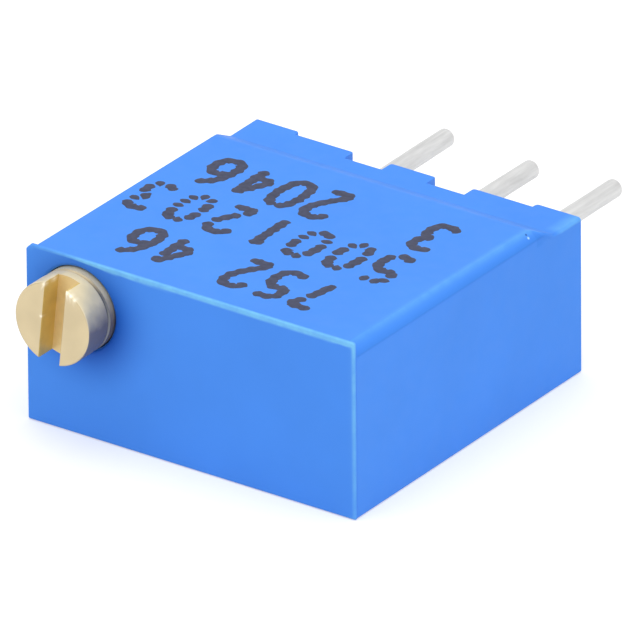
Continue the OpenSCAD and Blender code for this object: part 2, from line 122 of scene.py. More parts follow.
def make_piece(
    name: str,
    surface: Surface,
    body: str,
    replaces: tuple[str, ...] = (),
    crease: float = 35.0,
) -> bpy.types.Object:
    """Makes a piece of the object out of a surface and lets it ride on a body.

    Args:
        name: the piece's name.
        surface: its shape, in the frame's place, in millimetres.
        body: the body that it rides on.
        replaces: the CAD nodes that it stands for.
        crease: the angle in degrees above which an edge is shown sharp.

    Returns:
        The new object.
    """
    mesh = bpy.data.meshes.new(name)
    mesh.from_pydata((surface.points * MM).tolist(), [], surface.quads.tolist())
    work = bmesh.new()
    work.from_mesh(mesh)
    bmesh.ops.remove_doubles(work, verts=work.verts, dist=MERGED * MM)
    work.to_mesh(mesh)
    work.free()
    mesh.polygons.foreach_set("use_smooth", np.ones(len(mesh.polygons), bool))
    mesh.set_sharp_from_angle(angle=math.radians(crease))
    piece = bpy.data.objects.new(name, mesh)
    bpy.context.scene.collection.objects.link(piece)
    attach(piece, body)
    if replaces:
        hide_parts(*replaces)
    LOG.info("%s: %d faces on %s", name, len(mesh.polygons), body)
    return piece


def mark(piece: bpy.types.Object, values: Callable[[np.ndarray], np.ndarray]) -> None:
    """Writes a number on each point of a piece, for its finish to read.

    Args:
        piece: the piece.
        values: gives a number for each point, from points of shape (count, 3) in millimetres.
    """
    mesh = piece.data
    flat = np.empty(3 * len(mesh.vertices))
    mesh.vertices.foreach_get("co", flat)
    layer = mesh.attributes.new(MARK, "FLOAT", "POINT")
    layer.data.foreach_set("value", values(flat.reshape(-1, 3) / MM).astype(np.float32))


def bell(distance: np.ndarray, width: float) -> np.ndarray:
    """A smooth bump: exp(-(distance / width) ** 2)."""
    return np.exp(-((distance / width) ** 2))


def rise(distance: np.ndarray, width: float) -> np.ndarray:
    """Grows from 0 at no distance to 1 at the width: distance / width, held between 0 and 1."""
    return np.clip(distance / width, 0, 1)


def quarter_turn(steps: int) -> np.ndarray:
    """The angles of a quarter turn from 0 to 90 degrees, in radians."""
    return np.linspace(0, np.pi / 2, steps + 1)


def full_turn(points: int) -> np.ndarray:
    """The angles of the points round a whole turn, in radians."""
    return np.linspace(0, 2 * np.pi, points, endpoint=False)


def ways_along(path: np.ndarray) -> np.ndarray:
    """How far along a path each of its points lies: the sum of the lengths before it."""
    return np.concatenate([[0], np.cumsum(np.hypot(*np.diff(path, axis=0).T))])


def middle_of(row: np.ndarray) -> np.ndarray:
    """A row of points, of shape (1, points, 3), drawn together to its mean, to close a form."""
    return row.mean(1, keepdims=True) + 0 * row


def stand(flat: np.ndarray, y: np.ndarray) -> np.ndarray:
    """Gives points of a section their Y: (x, z) becomes (x, y, z)."""
    return np.stack([flat[..., 0], y + 0 * flat[..., 0], flat[..., 1]], -1)


def rings(centre: tuple, y: np.ndarray, radius: np.ndarray, turn: np.ndarray) -> np.ndarray:
    """Rings of points round a line along Y.

    Formula: (x, y, z) = (cx + r cos t, y, cz + r sin t) for each row and each angle t.

    Args:
        centre: the line's X and Z, each a number or one for each row, of shape (rows, 1).
        y: the Y of each row, of shape (rows, 1).
        radius: the radius of each row, or of each point of each row.
        turn: the angles of the points.

    Returns:
        The rings, of shape (rows, points, 3).
    """
    flat = np.stack([centre[0] + radius * np.cos(turn), centre[1] + radius * np.sin(turn)], -1)
    return stand(flat, y)


def lathe(profile: list[Pair], start: float, sides: int) -> Surface:
    """Turns a profile about the screw's axis.

    Args:
        profile: the (y, radius) of its corners; it starts and ends at radius 0 to close the form.
        start: the Y that the profile counts from.
        sides: the number of points round the axis.

    Returns:
        The closed surface.
    """
    at = np.array(profile)
    return Surface.from_rows(rings(SCREW_AXIS, at[:, :1] + start, at[:, 1:], full_turn(sides)))


def corner(
    x: np.ndarray, z: np.ndarray, way_in: Pair, way_out: Pair, radius: np.ndarray, count: int
) -> tuple[np.ndarray, np.ndarray]:
    """Rounds a corner of a section that runs anticlockwise.

    Formula: with turn the angle between the two ways, the arc starts at P - r tan(turn / 2) a and runs
    through start + r sin(s turn) a + r (1 - cos(s turn)) n for s from 0 to 1, where n is a turned left.

    Args:
        x: the corner's X, one for each row, of shape (rows, 1).
        z: the corner's Z, of the same shape.
        way_in: the direction towards the corner, as (x, z).
        way_out: the direction away from it.
        radius: the radius, of the same shape as x.
        count: the number of points on the arc.

    Returns:
        The X and the Z of the arc's points, of shape (rows, count).
    """
    ax, az = way_in
    turn = math.acos(np.clip(ax * way_out[0] + az * way_out[1], -1, 1))
    s = np.linspace(0, 1, count) * turn
    reach = radius * math.tan(turn / 2)
    along, aside = radius * np.sin(s) - reach, radius * (1 - np.cos(s))
    return x + along * ax - aside * az, z + along * az + aside * ax


# Finishes


class NodeSheet:
    """The nodes of a material or a world, written as calls: each adds a node and returns its output."""

    def __init__(self, owner: bpy.types.ID) -> None:
        """Opens the nodes of a new material or world, which hold its usual shader.

        Args:
            owner: the material or the world.
        """
        owner.use_nodes = True
        self.owner = owner
        self.tree = owner.node_tree
        self.shader = self.tree.nodes.get("Principled BSDF") or self.tree.nodes["Background"]

    def node(self, kind: str, output: int | str = 0, settings: dict | None = None, **inputs: Value) -> Socket:
        """Adds a node.

        Args:
            kind: the node's type, without its ShaderNode start.
            output: the output socket to return.
            settings: properties of the node.
            inputs: values or sockets, by input name with _ for a space, or by in0, in1 and so on.

        Returns:
            The output socket.
        """
        made = self.tree.nodes.new("ShaderNode" + kind)
        for key, value in (settings or {}).items():
            setattr(made, key, value)
        for key, value in inputs.items():
            index = int(key[2:]) if key[:2] == "in" and key[2:].isdigit() else key.replace("_", " ")
            self.put(made.inputs[index], value)
        return made.outputs[output]

    def put(self, socket: Socket, value: Value) -> None:
        """Links a socket to an input, or sets its value.

        Args:
            socket: the input.
            value: the output to link to it, or its value.
        """
        if isinstance(value, bpy.types.NodeSocket):
            self.tree.links.new(value, socket)
        else:
            socket.default_value = value

    def shade(self, **inputs: Value) -> None:
        """Sets or links inputs of the shader, by name with _ for a space."""
        for key, value in inputs.items():
            self.put(self.shader.inputs[key.replace("_", " ")], value)

    def place(self, centre: Place = (0, 0, 0), stretch: Place = (1, 1, 1)) -> Socket:
        """Object coordinates, moved so that centre (in mm) is their origin, and stretched.

        Args:
            centre: the place that becomes the origin, in millimetres.
            stretch: the factors along X, Y and Z; a pattern grows longer where one is below 1.

        Returns:
            The moved and stretched coordinates.
        """
        move = tuple(-c * MM * k for c, k in zip(centre, stretch))
        coordinates = self.node("TexCoord", "Object")
        return self.node("Mapping", Vector=coordinates, Location=move, Scale=stretch)

    def along(self, axis: int, at: Socket | None = None) -> Socket:
        """One of a place's coordinates: 0 for X, 1 for Y, 2 for Z."""
        return self.node("SeparateXYZ", axis, Vector=at or self.place())

    def distance(self, at: Socket) -> Socket:
        """How far a place lies from the origin."""
        return self.node("VectorMath", "Value", settings={"operation": "LENGTH"}, in0=at)

    def from_axis(self, at: Socket) -> Socket:
        """How far a place lies from the Y axis: the length of (x, 0, z)."""
        flat = self.node("VectorMath", settings={"operation": "MULTIPLY"}, in0=at, in1=(1, 0, 1))
        return self.distance(flat)

    def noise(
        self, grain: float, detail: float = 3.0, rough: float = 0.5, at: Socket | None = None
    ) -> Socket:
        """Noise whose largest grains are about the given size in millimetres."""
        return self.node("TexNoise", "Fac", Vector=at or self.place(), Scale=1 / (grain * MM), Detail=detail,
                         Roughness=rough)

    def ramp(
        self, value: Value, low: float, high: float, to_low: float = 0.0, to_high: float = 1.0
    ) -> Socket:
        """Carries a value from one range to another, and holds it there."""
        return self.node("MapRange", Value=value, From_Min=low, From_Max=high, To_Min=to_low, To_Max=to_high)

    def patches(
        self, grain: float, low: float = 0.0, high: float = 1.0, detail: float = 3.0, at: Socket | None = None
    ) -> Socket:
        """Noise with about the given grain in millimetres, spread from low to high."""
        return self.ramp(self.noise(grain, detail, at=at), *NOISE_SPAN, low, high)

    def maths(self, operation: str, first: Value, second: Value) -> Socket:
        """One arithmetic step on two values."""
        return self.node("Math", settings={"operation": operation}, in0=first, in1=second)

    def mark(self) -> Socket:
        """The number that mark() wrote on the piece's points."""
        return self.node("Attribute", "Fac", settings={"attribute_name": MARK})

    def blend(self, share: Value, first: Value, second: Value) -> Socket:
        """Mixes two colours."""
        colours = [(*c, 1.0) if isinstance(c, tuple) else c for c in (first, second)]
        return self.node("Mix", 2, settings={"data_type": "RGBA"}, in0=share, in6=colours[0], in7=colours[1])

    def marked(self, ground: Socket, dark: Colour, pale: Colour, painted_light: Socket | None = None) -> Socket:
        """A colour with its marks of painted light: dark, painted shade, where the mark is below 0, and pale,
        painted highlight, by the mark times the given share where it is above.

        Args:
            ground: the colour without marks.
            dark: the colour at a mark of -1.
            pale: the colour at a mark of 1.
            painted_light: what the pale marks are multiplied by, if anything.

        Returns:
            The marked colour.
        """
        marks = self.mark()
        darkened = self.blend(self.maths("MULTIPLY", marks, -1.0), ground, dark)
        share = self.maths("MULTIPLY", marks, painted_light) if painted_light else marks
        return self.blend(share, darkened, pale)

    def bump(self, height: Socket, depth: float, normal: Socket | None = None) -> Socket:
        """A bump from a height between 0 and 1, with the depth in millimetres."""
        inputs = {"Height": height, "Distance": depth * MM, "Strength": 1.0}
        return self.node("Bump", **inputs, **({"Normal": normal} if normal else {}))

    def seen(self) -> Socket:
        """1 on rays from the camera, off gloss and through glass, and 0 on all others.

        Returns:
            The socket with that value.
        """
        path = self.tree.nodes.new("ShaderNodeLightPath").outputs
        seen = self.maths("MAXIMUM", path["Is Camera Ray"], path["Is Glossy Ray"])
        return self.maths("MAXIMUM", seen, path["Is Transmission Ray"])


def scaled(colour: Colour, factor: float) -> Colour:
    """A colour made lighter or darker."""
    return tuple(min(1.0, c * factor) for c in colour)


@dataclass(frozen=True)
class Finish:
    """A surface finish: mottled colour, uneven gloss and a fine bump, with the scales in millimetres."""

    name: str
    colour: Colour
    roughness: float = 0.5
    metallic: float = 0.0
    mottle: float = 0.04
    mottle_grain: float = 1.5
    gloss_spread: float = 0.06
    gloss_grain: float = 0.4
    texture_depth: float = 0.0006
    texture_grain: float = 0.05
    specular: float = 0.5

    def mottled(self, sheet: NodeSheet, detail: float = 3.0, at: Socket | None = None) -> Socket:
        """The mottled colour: colour * (1 +- mottle), by noise."""
        share = sheet.patches(self.mottle_grain, detail=detail, at=at)
        return sheet.blend(share, scaled(self.colour, 1 - self.mottle), scaled(self.colour, 1 + self.mottle))

    def colour_socket(self, sheet: NodeSheet) -> Socket:
        """The colour, which is mottled in a plain finish."""
        return self.mottled(sheet)

    def roughness_socket(self, sheet: NodeSheet) -> Socket:
        """The uneven gloss: roughness +- gloss_spread, by noise."""
        low, high = self.roughness - self.gloss_spread, self.roughness + self.gloss_spread
        return sheet.patches(self.gloss_grain, low, high, detail=4.0)

    def normal_socket(self, sheet: NodeSheet) -> Socket:
        """The fine texture of the surface."""
        return sheet.bump(sheet.noise(self.texture_grain, 3), self.texture_depth)

    def specular_socket(self, sheet: NodeSheet) -> Value:
        """The strength of the reflection, the same all over."""
        return self.specular

    def material(self) -> bpy.types.Material:
        """Builds the material.

        Returns:
            The new material.
        """
        sheet = NodeSheet(bpy.data.materials.new(self.name))
        sheet.shade(
            Base_Color=self.colour_socket(sheet),
            Roughness=self.roughness_socket(sheet),
            Normal=self.normal_socket(sheet),
            Metallic=self.metallic,
            Specular_IOR_Level=self.specular_socket(sheet),
        )
        return sheet.owner


@dataclass(frozen=True)
class MouldedBody(Finish):
    """The blue moulding: painted highlights on its edges, painted shade in its creases and a painted shadow
    round the screw.
    """

    # painted highlight on the edges, and the noise that breaks it up
    edge_highlight: Colour = (0.21, 0.60, 1.0)
    highlight_grain: float = 0.45
    highlight_rough: float = 0.6
    highlight_span: Pair = (0.3, 0.6)
    highlight_least: float = 0.55
    # painted shade: the dark line under the right bevel and the darker ramp
    crease: Colour = (0.035, 0.19, 0.72)
    # painted shadow of the screw's head on the front face, centred right of and below its axis
    screw_shadow: Colour = (0.010, 0.115, 0.62)
    screw_shadow_at: Place = (-3.1, -4.73, 3.25)
    screw_shadow_from: float = 0.95
    screw_shadow_to: float = 2.25
    face_y: float = -4.70
    face_fade: float = 0.01
    dim_mark: float = -0.15
    dim: float = 0.65
    # a painted glint and, beside it, a spot of painted shade: a small flaw catching the light
    glint_spot: Four = (4.645, 2.65, 4.39, 0.045)
    glint_spot_colour: Colour = (0.45, 0.75, 1.0)
    shade_spot: Four = (4.58, 2.65, 4.46, 0.04)
    pit_shade: float = 0.6
    spot_core: float = 0.4

    def screw_shadow_share(self, sheet: NodeSheet) -> Socket:
        """How dark the painted shadow round the screw is: (1 - way out) ** 2 on the screw's face, with the
        way out from 0 to 1.

        Args:
            sheet: the material's nodes.

        Returns:
            The ring's share, from 0 to 1.
        """
        distance = sheet.from_axis(sheet.place(self.screw_shadow_at))
        inner = sheet.ramp(distance, self.screw_shadow_from * MM, self.screw_shadow_to * MM, 1.0, 0.0)
        on_face = sheet.ramp(sheet.along(1), self.face_y * MM, (self.face_y - self.face_fade) * MM)
        return sheet.maths("MULTIPLY", sheet.maths("POWER", inner, 2.0), on_face)

    def spot(self, sheet: NodeSheet, spot: Four) -> Socket:
        """1 near the spot's place, its first three values, falling to 0 at its radius, the fourth."""
        far = sheet.distance(sheet.place(spot[:3]))
        return sheet.ramp(far, self.spot_core * spot[3] * MM, spot[3] * MM, 1.0, 0.0)

    def specular_socket(self, sheet: NodeSheet) -> Socket:
        """The reflection's strength, falling to its share dim as the mark falls from 0 to dim_mark."""
        return sheet.ramp(sheet.mark(), self.dim_mark, 0.0, self.dim * self.specular, self.specular)

    def colour_socket(self, sheet: NodeSheet) -> Socket:
        """The mottled colour with the painted shadow round the screw and its marks, painted highlights and
        painted shade, of which noise breaks the highlights up.

        A small moulding flaw on the right bevel near the pins is drawn as a painted glint beside a spot of
        painted shade.

        Args:
            sheet: the material's nodes.

        Returns:
            The colour.
        """
        body = sheet.blend(self.screw_shadow_share(sheet), self.mottled(sheet), self.screw_shadow)
        noise = sheet.noise(self.highlight_grain, 4, self.highlight_rough)
        broken = sheet.ramp(noise, *self.highlight_span, self.highlight_least, 1.0)
        marked = sheet.marked(body, self.crease, self.edge_highlight, broken)
        shade_spotted = sheet.blend(self.spot(sheet, self.shade_spot), marked, scaled(self.crease, self.pit_shade))
        return sheet.blend(self.spot(sheet, self.glint_spot), shade_spotted, self.glint_spot_colour)


@dataclass(frozen=True)
class TurnedBrass(Finish):
    """Turned brass: rings about the screw's axis on its faces, a light haze, painted glints and dark lines of
    painted shade.
    """

    axis: Place = (SCREW_AXIS[0], 0.0, SCREW_AXIS[1])
    ring_pitch: float = 0.035
    ring_rough: float = 0.6
    ring_depth: float = 0.0005
    # painted glints where the head's edges catch the light
    glint: Colour = (1.0, 0.93, 0.76)
    # painted shade in the turned groove, darker lower down
    line: Colour = (0.17, 0.175, 0.19)

    def colour_socket(self, sheet: NodeSheet) -> Socket:
        """The colour with its marks: painted glints where the mark is above 0, painted shade where it is
        below.
        """
        return sheet.marked(self.ground_socket(sheet), self.line, self.glint)

    def ground_socket(self, sheet: NodeSheet) -> Socket:
        """The mottled colour without its marks."""
        return self.mottled(sheet)

    def normal_socket(self, sheet: NodeSheet) -> Socket:
        """Rings about the axis: the height is noise of the distance from it and of Y.

        Args:
            sheet: the material's nodes.

        Returns:
            The normal.
        """
        at = sheet.place(self.axis)
        track = sheet.node("CombineXYZ", X=sheet.from_axis(at), Y=sheet.along(1, at))
        rings_height = sheet.noise(self.ring_pitch, 2, self.ring_rough, at=track)
        return sheet.bump(rings_height, self.ring_depth, super().normal_socket(sheet))


@dataclass(frozen=True)
class DulledBrass(TurnedBrass):
    """The screw's dulled flank: beige on top, and a painted reflection of the blue body, lilac grey, lower
    down.
    """

    # painted reflection of the blue body on the flank's lower part
    reflection_tint: Colour = (0.23, 0.20, 0.20)
    reflection_from: float = 3.95
    reflection_to: float = 3.35
    reflection_grain: float = 0.4
    reflection_uneven: float = 0.08

    def ground_socket(self, sheet: NodeSheet) -> Socket:
        """The mottled colour, blending into the painted reflection's colour as Z falls between its two
        heights.

        Args:
            sheet: the material's nodes.

        Returns:
            The colour without its marks.
        """
        shift = sheet.patches(self.reflection_grain, -self.reflection_uneven * MM, self.reflection_uneven * MM)
        height = sheet.maths("ADD", sheet.along(2), shift)
        share = sheet.ramp(height, self.reflection_from * MM, self.reflection_to * MM)
        return sheet.blend(share, super().ground_socket(sheet), self.reflection_tint)


@dataclass(frozen=True)
class DrawnWire(Finish):
    """Tinned wire: lengthwise streaks of the dip, with dull and bright patches."""

    streak: float = 0.06
    streak_draw: float = 0.12
    streak_depth: float = 3.0
    colour_draw: float = 0.1

    def colour_socket(self, sheet: NodeSheet) -> Socket:
        """The mottled colour in streaks: its noise is drawn out ten times along Y."""
        return self.mottled(sheet, 4.0, sheet.place(stretch=(1, self.colour_draw, 1)))

    def normal_socket(self, sheet: NodeSheet) -> Socket:
        """Streaks drawn out along Y, streak_depth times as deep as the lumpy dip under them."""
        streaks = sheet.noise(self.streak, 3, at=sheet.place(stretch=(1, self.streak_draw, 1)))
        return sheet.bump(streaks, self.texture_depth * self.streak_depth, super().normal_socket(sheet))


class Look(Enum):
    """The finishes of the trimmer's pieces."""

    BODY = MouldedBody("moulded_blue", (0.071, 0.293, 0.94), 0.5, mottle=0.03, mottle_grain=2.5,
                       gloss_spread=0.05, texture_depth=0.0008, texture_grain=0.06, specular=0.16)
    BRASS = TurnedBrass("turned_brass", (0.602, 0.498, 0.313), 0.34, 1.0, mottle=0.05, mottle_grain=0.6,
                        gloss_spread=0.05, gloss_grain=0.15, texture_depth=0.0003)
    # the slot's walls: a darker copy of the floor's sawn brass, painted shade
    SHADED_SLOT_WALLS = TurnedBrass("sawn_brass", (0.70, 0.52, 0.165), 0.45, 0.35, mottle=0.07, mottle_grain=0.3,
                       gloss_spread=0.05, gloss_grain=0.15, texture_depth=0.0004)
    SLOT_FLOOR = TurnedBrass("sawn_brass_floor", (0.84, 0.64, 0.31), 0.45, 0.35, mottle=0.07,
                             mottle_grain=0.3, gloss_spread=0.05, gloss_grain=0.15, texture_depth=0.0004)
    FLANK = DulledBrass("dulled_brass", (0.80, 0.68, 0.44), 0.4, 0.35, mottle=0.04, mottle_grain=0.3,
                        gloss_spread=0.06, gloss_grain=0.15, texture_depth=0.0003)
    WIRE = DrawnWire("tinned_wire", (0.67, 0.67, 0.665), 0.4, 0.6, mottle=0.10, mottle_grain=0.09,
                     gloss_spread=0.08, gloss_grain=0.2, texture_depth=0.001, texture_grain=0.09)
    INK = Finish("marking_ink", (0.057, 0.064, 0.112), 0.6, mottle=0.2, mottle_grain=0.12,
                 texture_depth=0.001, texture_grain=0.05, specular=0.2)
    RESIN = Finish("potting_resin", (0.06, 0.16, 0.5), 0.2, mottle=0.06, mottle_grain=1.2,
                   gloss_spread=0.04, texture_depth=0.0015, texture_grain=0.5)
    RUBBER = Finish("seal_rubber", (0.02, 0.02, 0.022), 0.7, mottle=0.15, mottle_grain=0.2)
    STEEL = Finish("spring_steel", (0.62, 0.62, 0.6), 0.3, 1.0, mottle=0.03, mottle_grain=0.3)
    NATURAL = Finish("natural_plastic", (0.74, 0.7, 0.58), 0.5, mottle=0.04, mottle_grain=0.8)
    BRONZE = Finish("spring_bronze", (0.78, 0.55, 0.33), 0.3, 1.0, mottle=0.05, mottle_grain=0.3)
    CERAMIC = Finish("plate_ceramic", (0.82, 0.82, 0.8), 0.6, mottle=0.02, mottle_grain=0.3,
                     texture_depth=0.002, texture_grain=0.04)
    CERMET = Finish("track_cermet", (0.03, 0.03, 0.034), 0.45, mottle=0.2, mottle_grain=0.1)
    PASTE = Finish("printed_metal", (0.66, 0.65, 0.6), 0.45, 1.0, mottle=0.08, mottle_grain=0.1)
    SOLDER = Finish("solder", (0.6, 0.61, 0.62), 0.35, 1.0, mottle=0.06, mottle_grain=0.2)
    PLUG = Finish("plug_plastic", (0.05, 0.06, 0.08), 0.5, mottle=0.06, mottle_grain=0.6)


class Palette:
    """Builds each finish's material once and hands it out."""

    def __init__(self) -> None:
        """Starts with no material built."""
        self.made: dict[Look, bpy.types.Material] = {}

    def dress(self, piece: bpy.types.Object, *looks: Look) -> None:
        """Gives a piece its finish, or its several finishes, which its faces number from 0.

        Args:
            piece: the piece.
            looks: its finishes, in the order of their numbers.
        """
        piece.data.materials.clear()
        for look in looks:
            if look not in self.made:
                self.made[look] = look.value.material()
            piece.data.materials.append(self.made[look])


# The housing


@dataclass(frozen=True)
class PaintedEdgeLight:
    """Where the moulding's edges carry painted highlights or painted shade, in millimetres, and how strongly.

    A field that ends in _at gives the X or the Z of four places along an edge, and the field after it the
    width or the share there. The fields ledge, crease, bevel and ramp are shares, from 0 to 1, and
    rim_reach is how far back the painted highlight of the front edge reaches, in radii of that edge.
    """

    fade: float = 0.03
    rim_reach: float = 1.3
    top_at: Four = (-4.7, -3.4, -2.2, 4.7)
    top_widths: Four = (0.10, 0.08, 0.15, 0.16)
    top_share_at: Four = (-4.7, -3.8, -2.9, 4.7)
    top_shares: Four = (0.1, 0.5, 0.95, 1.0)
    side_width: float = 0.12
    side_at: Four = (0.0, 2.0, 4.2, 4.6)
    side_shares: Four = (0.4, 0.6, 0.75, 1.0)
    ledge: float = 0.45
    ledge_from: float = 0.15
    ledge_width: float = 0.12
    ledge_depth: float = 0.08
    pad_margins: Pair = (0.16, 0.2)
    crease: float = 0.5
    bevel: float = 0.3
    bevel_margin: float = 0.04
    bevel_fade: float = 0.05
    ramp: float = 0.16
    ramp_margins: Pair = (0.03, 0.02)
    ramp_depth: float = 0.02


@dataclass
class Housing:
    """The moulded cup: a raised pad with a proud rim, a ramp, a low ledge and a vented rear edge.

    A field that ends in _row or _rows says where further rows of points lie, and short_run how far apart
    two rows are that hold an edge sharp.
    """

    half_w: float = 4.765
    front: float = -4.73
    foot: float = 4.73
    rim_top: float = 4.69
    rim_depth: float = 0.10
    rim_side: float = 0.02
    rim_corners: Pair = (0.16, 0.04)
    pad_top: float = 4.58
    pad_slope: float = 0.6
    bevel_left: float = 0.16
    bevel_right: float = 0.29
    ramp_from: float = 2.85
    ramp_to: float = 3.60
    ramp_rounds: Pair = (0.1, 0.06)
    ramp_rows: Place = (3.05, 3.2, 3.35)
    rim_rows: Four = (0.0, 0.01, 0.06, 0.2)
    ledge_top: float = 4.12
    ledge_bevel: float = 0.05
    block: float = 4.56
    vent: float = 4.17
    steps_at: Place = (0.65, 1.75, 3.465)
    step_rows: tuple[float, ...] = (0.003, 0.009, 0.018, 0.035, 0.06)
    rear_rows: Four = (0.25, 0.5, 0.8, 0.96)
    inner_x: float = 4.215
    inner_floor: float = 0.5
    rear_ceiling: float = 3.78
    ceiling: float = 3.90
    bay_ceiling: float = 4.16
    bay_x: float = -2.36
    step_y: float = 2.88
    inner_rows: Pair = (3.9, -2.5)
    front_wall: float = 0.6
    bore_r: float = 1.085
    bore_edge: float = 0.08
    bore_row: float = -4.4
    bore_room: float = 0.05
    short_run: float = 0.02
    edge: float = 0.05
    least_edge: float = 0.012
    rear_edge: float = 0.03
    step_edge: float = 0.07
    face_shares: tuple[float, ...] = (
        0.02, 0.06, 0.12, 0.2, 0.3, 0.4, 0.5, 0.6, 0.7, 0.8, 0.88, 0.94, 0.97, 0.99
    )
    side_points: int = 70
    across_half: float = 4.36
    across_points: int = 150
    # where the edges carry painted highlights and painted shade
    painted_light: PaintedEdgeLight = field(default_factory=PaintedEdgeLight)

    def across(self) -> np.ndarray:
        """The X of the points along the top and the bottom, close together at each step of the rear edge.

        Returns:
            The X of each point, from left to right.
        """
        near = np.concatenate([np.negative(self.step_rows), self.step_rows])
        steps = (np.array(self.steps_at)[:, None] + near).ravel()
        base = np.linspace(-self.across_half, self.across_half, self.across_points)
        return np.unique(np.round(np.concatenate([base, steps, -steps]), 4))

    def rear(self, x: np.ndarray) -> np.ndarray:
        """How far the rear edge reaches at each X: the middle block, a vent, the outer block, a foot.

        Formula: the level by |x|, less r - sqrt(r^2 - (r - d)^2) within r of the end of a higher level,
        where d is the distance to that end.

        Args:
            x: the X of each point.

        Returns:
            The Y that the rear edge reaches there.
        """
        a, b, c = self.steps_at
        far = np.abs(x)
        level = np.select([far < a, far < b, far < c], [self.block, self.vent, self.block], self.foot)
        r = self.step_edge
        for at, inward in ((a, True), (b, False), (c, False)):
            d = (at - far) if inward else (far - at)
            near = (d > 0) & (d < r)
            level = np.where(near, level - r + np.sqrt(np.maximum(r * r - (r - d) ** 2, 0)), level)
        return level

    def top(self, y: np.ndarray) -> np.ndarray:
        """The height of the pad, the ramp and the ledge at each Y, with both corners of the ramp rounded.

        Formula: a line that changes its slope by k at y0 adds k (y - y0 + h)^2 / (4 h) within h of y0.

        Args:
            y: the Y of each point.

        Returns:
            The height of the top there.
        """
        slope = -math.tan(math.radians(self.pad_slope))
        pad_end = self.pad_top + slope * (self.ramp_from - self.front)
        fall = (self.ledge_top - pad_end) / (self.ramp_to - self.ramp_from)
        z = self.pad_top + slope * (y - self.front)
        near, far = self.ramp_rounds
        for at, change, h in ((self.ramp_from, fall - slope, near), (self.ramp_to, -fall, far)):
            past = y - at
            z = z + np.where(past > h, change * past, change * np.clip(past + h, 0, None) ** 2 / (4 * h))
        return z

    def section(
        self, half_w: np.ndarray, top: np.ndarray, bevels: tuple[np.ndarray, np.ndarray], inset: np.ndarray
    ) -> np.ndarray:
        """The outer section, anticlockwise seen from the screw: bottom, right side, top and left side.

        Args:
            half_w: half of the width, one for each row, of shape (rows, 1).
            top: the height of the top.
            bevels: the sizes of the bevels at its left and at its right end.
            inset: how far the whole section lies inside these.

        Returns:
            The (x, z) of each point, of shape (rows, points, 2).
        """
        slant = math.sqrt(0.5)
        w, t, low = half_w - inset, top - inset, inset
        r = np.maximum(self.edge - inset, self.least_edge)
        across = self.across()[None, :]
        run = np.linspace(0.01, 0.99, self.side_points)[None, :]
        left, right = bevels
        low_end = low + r
        sides = [low_end + run * (t - bevel - r * math.tan(math.pi / 8) - low_end) for bevel in bevels]
        zero = 0 * w
        parts = [
            (across + zero, low + 0 * across),
            corner(w, low, (1, 0), (0, 1), r, 5),
            (w + 0 * sides[1], sides[1]),
            corner(w, t - right, (0, 1), (-slant, slant), r, 4),
            corner(w - right, t, (-slant, slant), (-1, 0), r, 4),
            (across[:, ::-1] + zero, t + 0 * across),
            corner(left - w, t, (-1, 0), (-slant, -slant), r, 4),
            corner(-w, t - left, (-slant, -slant), (0, -1), r, 4),
            (-w + 0 * sides[0], sides[0][:, ::-1]),
            corner(-w, low, (0, -1), (1, 0), r, 5),
        ]
        return np.stack([np.concatenate([p[k] for p in parts], 1) for k in (0, 1)], -1)

    def skin(self) -> tuple[np.ndarray, np.ndarray]:
        """The outside from the front edge to the rear edge.

        Returns:
            The points of shape (rows, points, 3), and where the rear edge is at each point of a row.
        """
        turn = quarter_turn(4)
        e, back = self.edge, self.front + self.rim_depth
        rim_y = np.concatenate([self.front + e * (1 - np.cos(turn)), back - e * (1 - np.sin(turn))])
        rim_in = np.concatenate([e * (1 - np.sin(turn)), e * (1 - np.cos(turn))])
        # close rows behind the rim and at both corners of the ramp, and wide ones on the pad
        pad_y = np.concatenate([
            back + np.array(self.rim_rows), np.linspace(back + 0.6, self.ramp_from - 0.3, 10),
            self.ramp_from + np.linspace(-0.12, 0.12, 9), self.ramp_rows,
            self.ramp_to + np.linspace(-0.08, 0.08, 7),
        ])
        y = np.concatenate([rim_y, pad_y])[:, None]
        on_rim = np.arange(len(y))[:, None] < len(rim_y)
        inset = np.concatenate([rim_in, 0 * pad_y])[:, None]
        top = np.where(on_rim, self.rim_top, self.top(y))
        drop = self.pad_top - self.top(y)
        ramp_drop = drop - math.tan(math.radians(self.pad_slope)) * (y - self.front)
        bevels = [
            np.where(on_rim, rim, np.maximum(pad, self.ledge_bevel))
            for rim, pad in zip(self.rim_corners, (self.bevel_left - ramp_drop, self.bevel_right - drop))
        ]
        half_w = np.where(on_rim, self.half_w, self.half_w - self.rim_side)
        front = stand(self.section(half_w, top, bevels, inset), y)

        end = self.rear(front[-1, :, 0])
        turn = quarter_turn(3)
        e = self.rear_edge
        flat_part = np.zeros(len(self.rear_rows))
        reach = np.concatenate([self.rear_rows, np.ones(len(turn))])[:, None]
        lift = np.concatenate([flat_part, e * np.sin(turn)])[:, None]
        inset = np.concatenate([flat_part, e * (1 - np.cos(turn))])[:, None]
        one = 0 * reach + 1
        bevels = (one * self.ledge_bevel, one * self.ledge_bevel)
        flat = self.section(one * (self.half_w - self.rim_side), one * self.ledge_top, bevels, inset)
        start = front[-1, :, 1][None, :]
        rear = stand(flat, start + reach * (end[None, :] - e - start) + lift)
        return np.concatenate([front, rear]), end

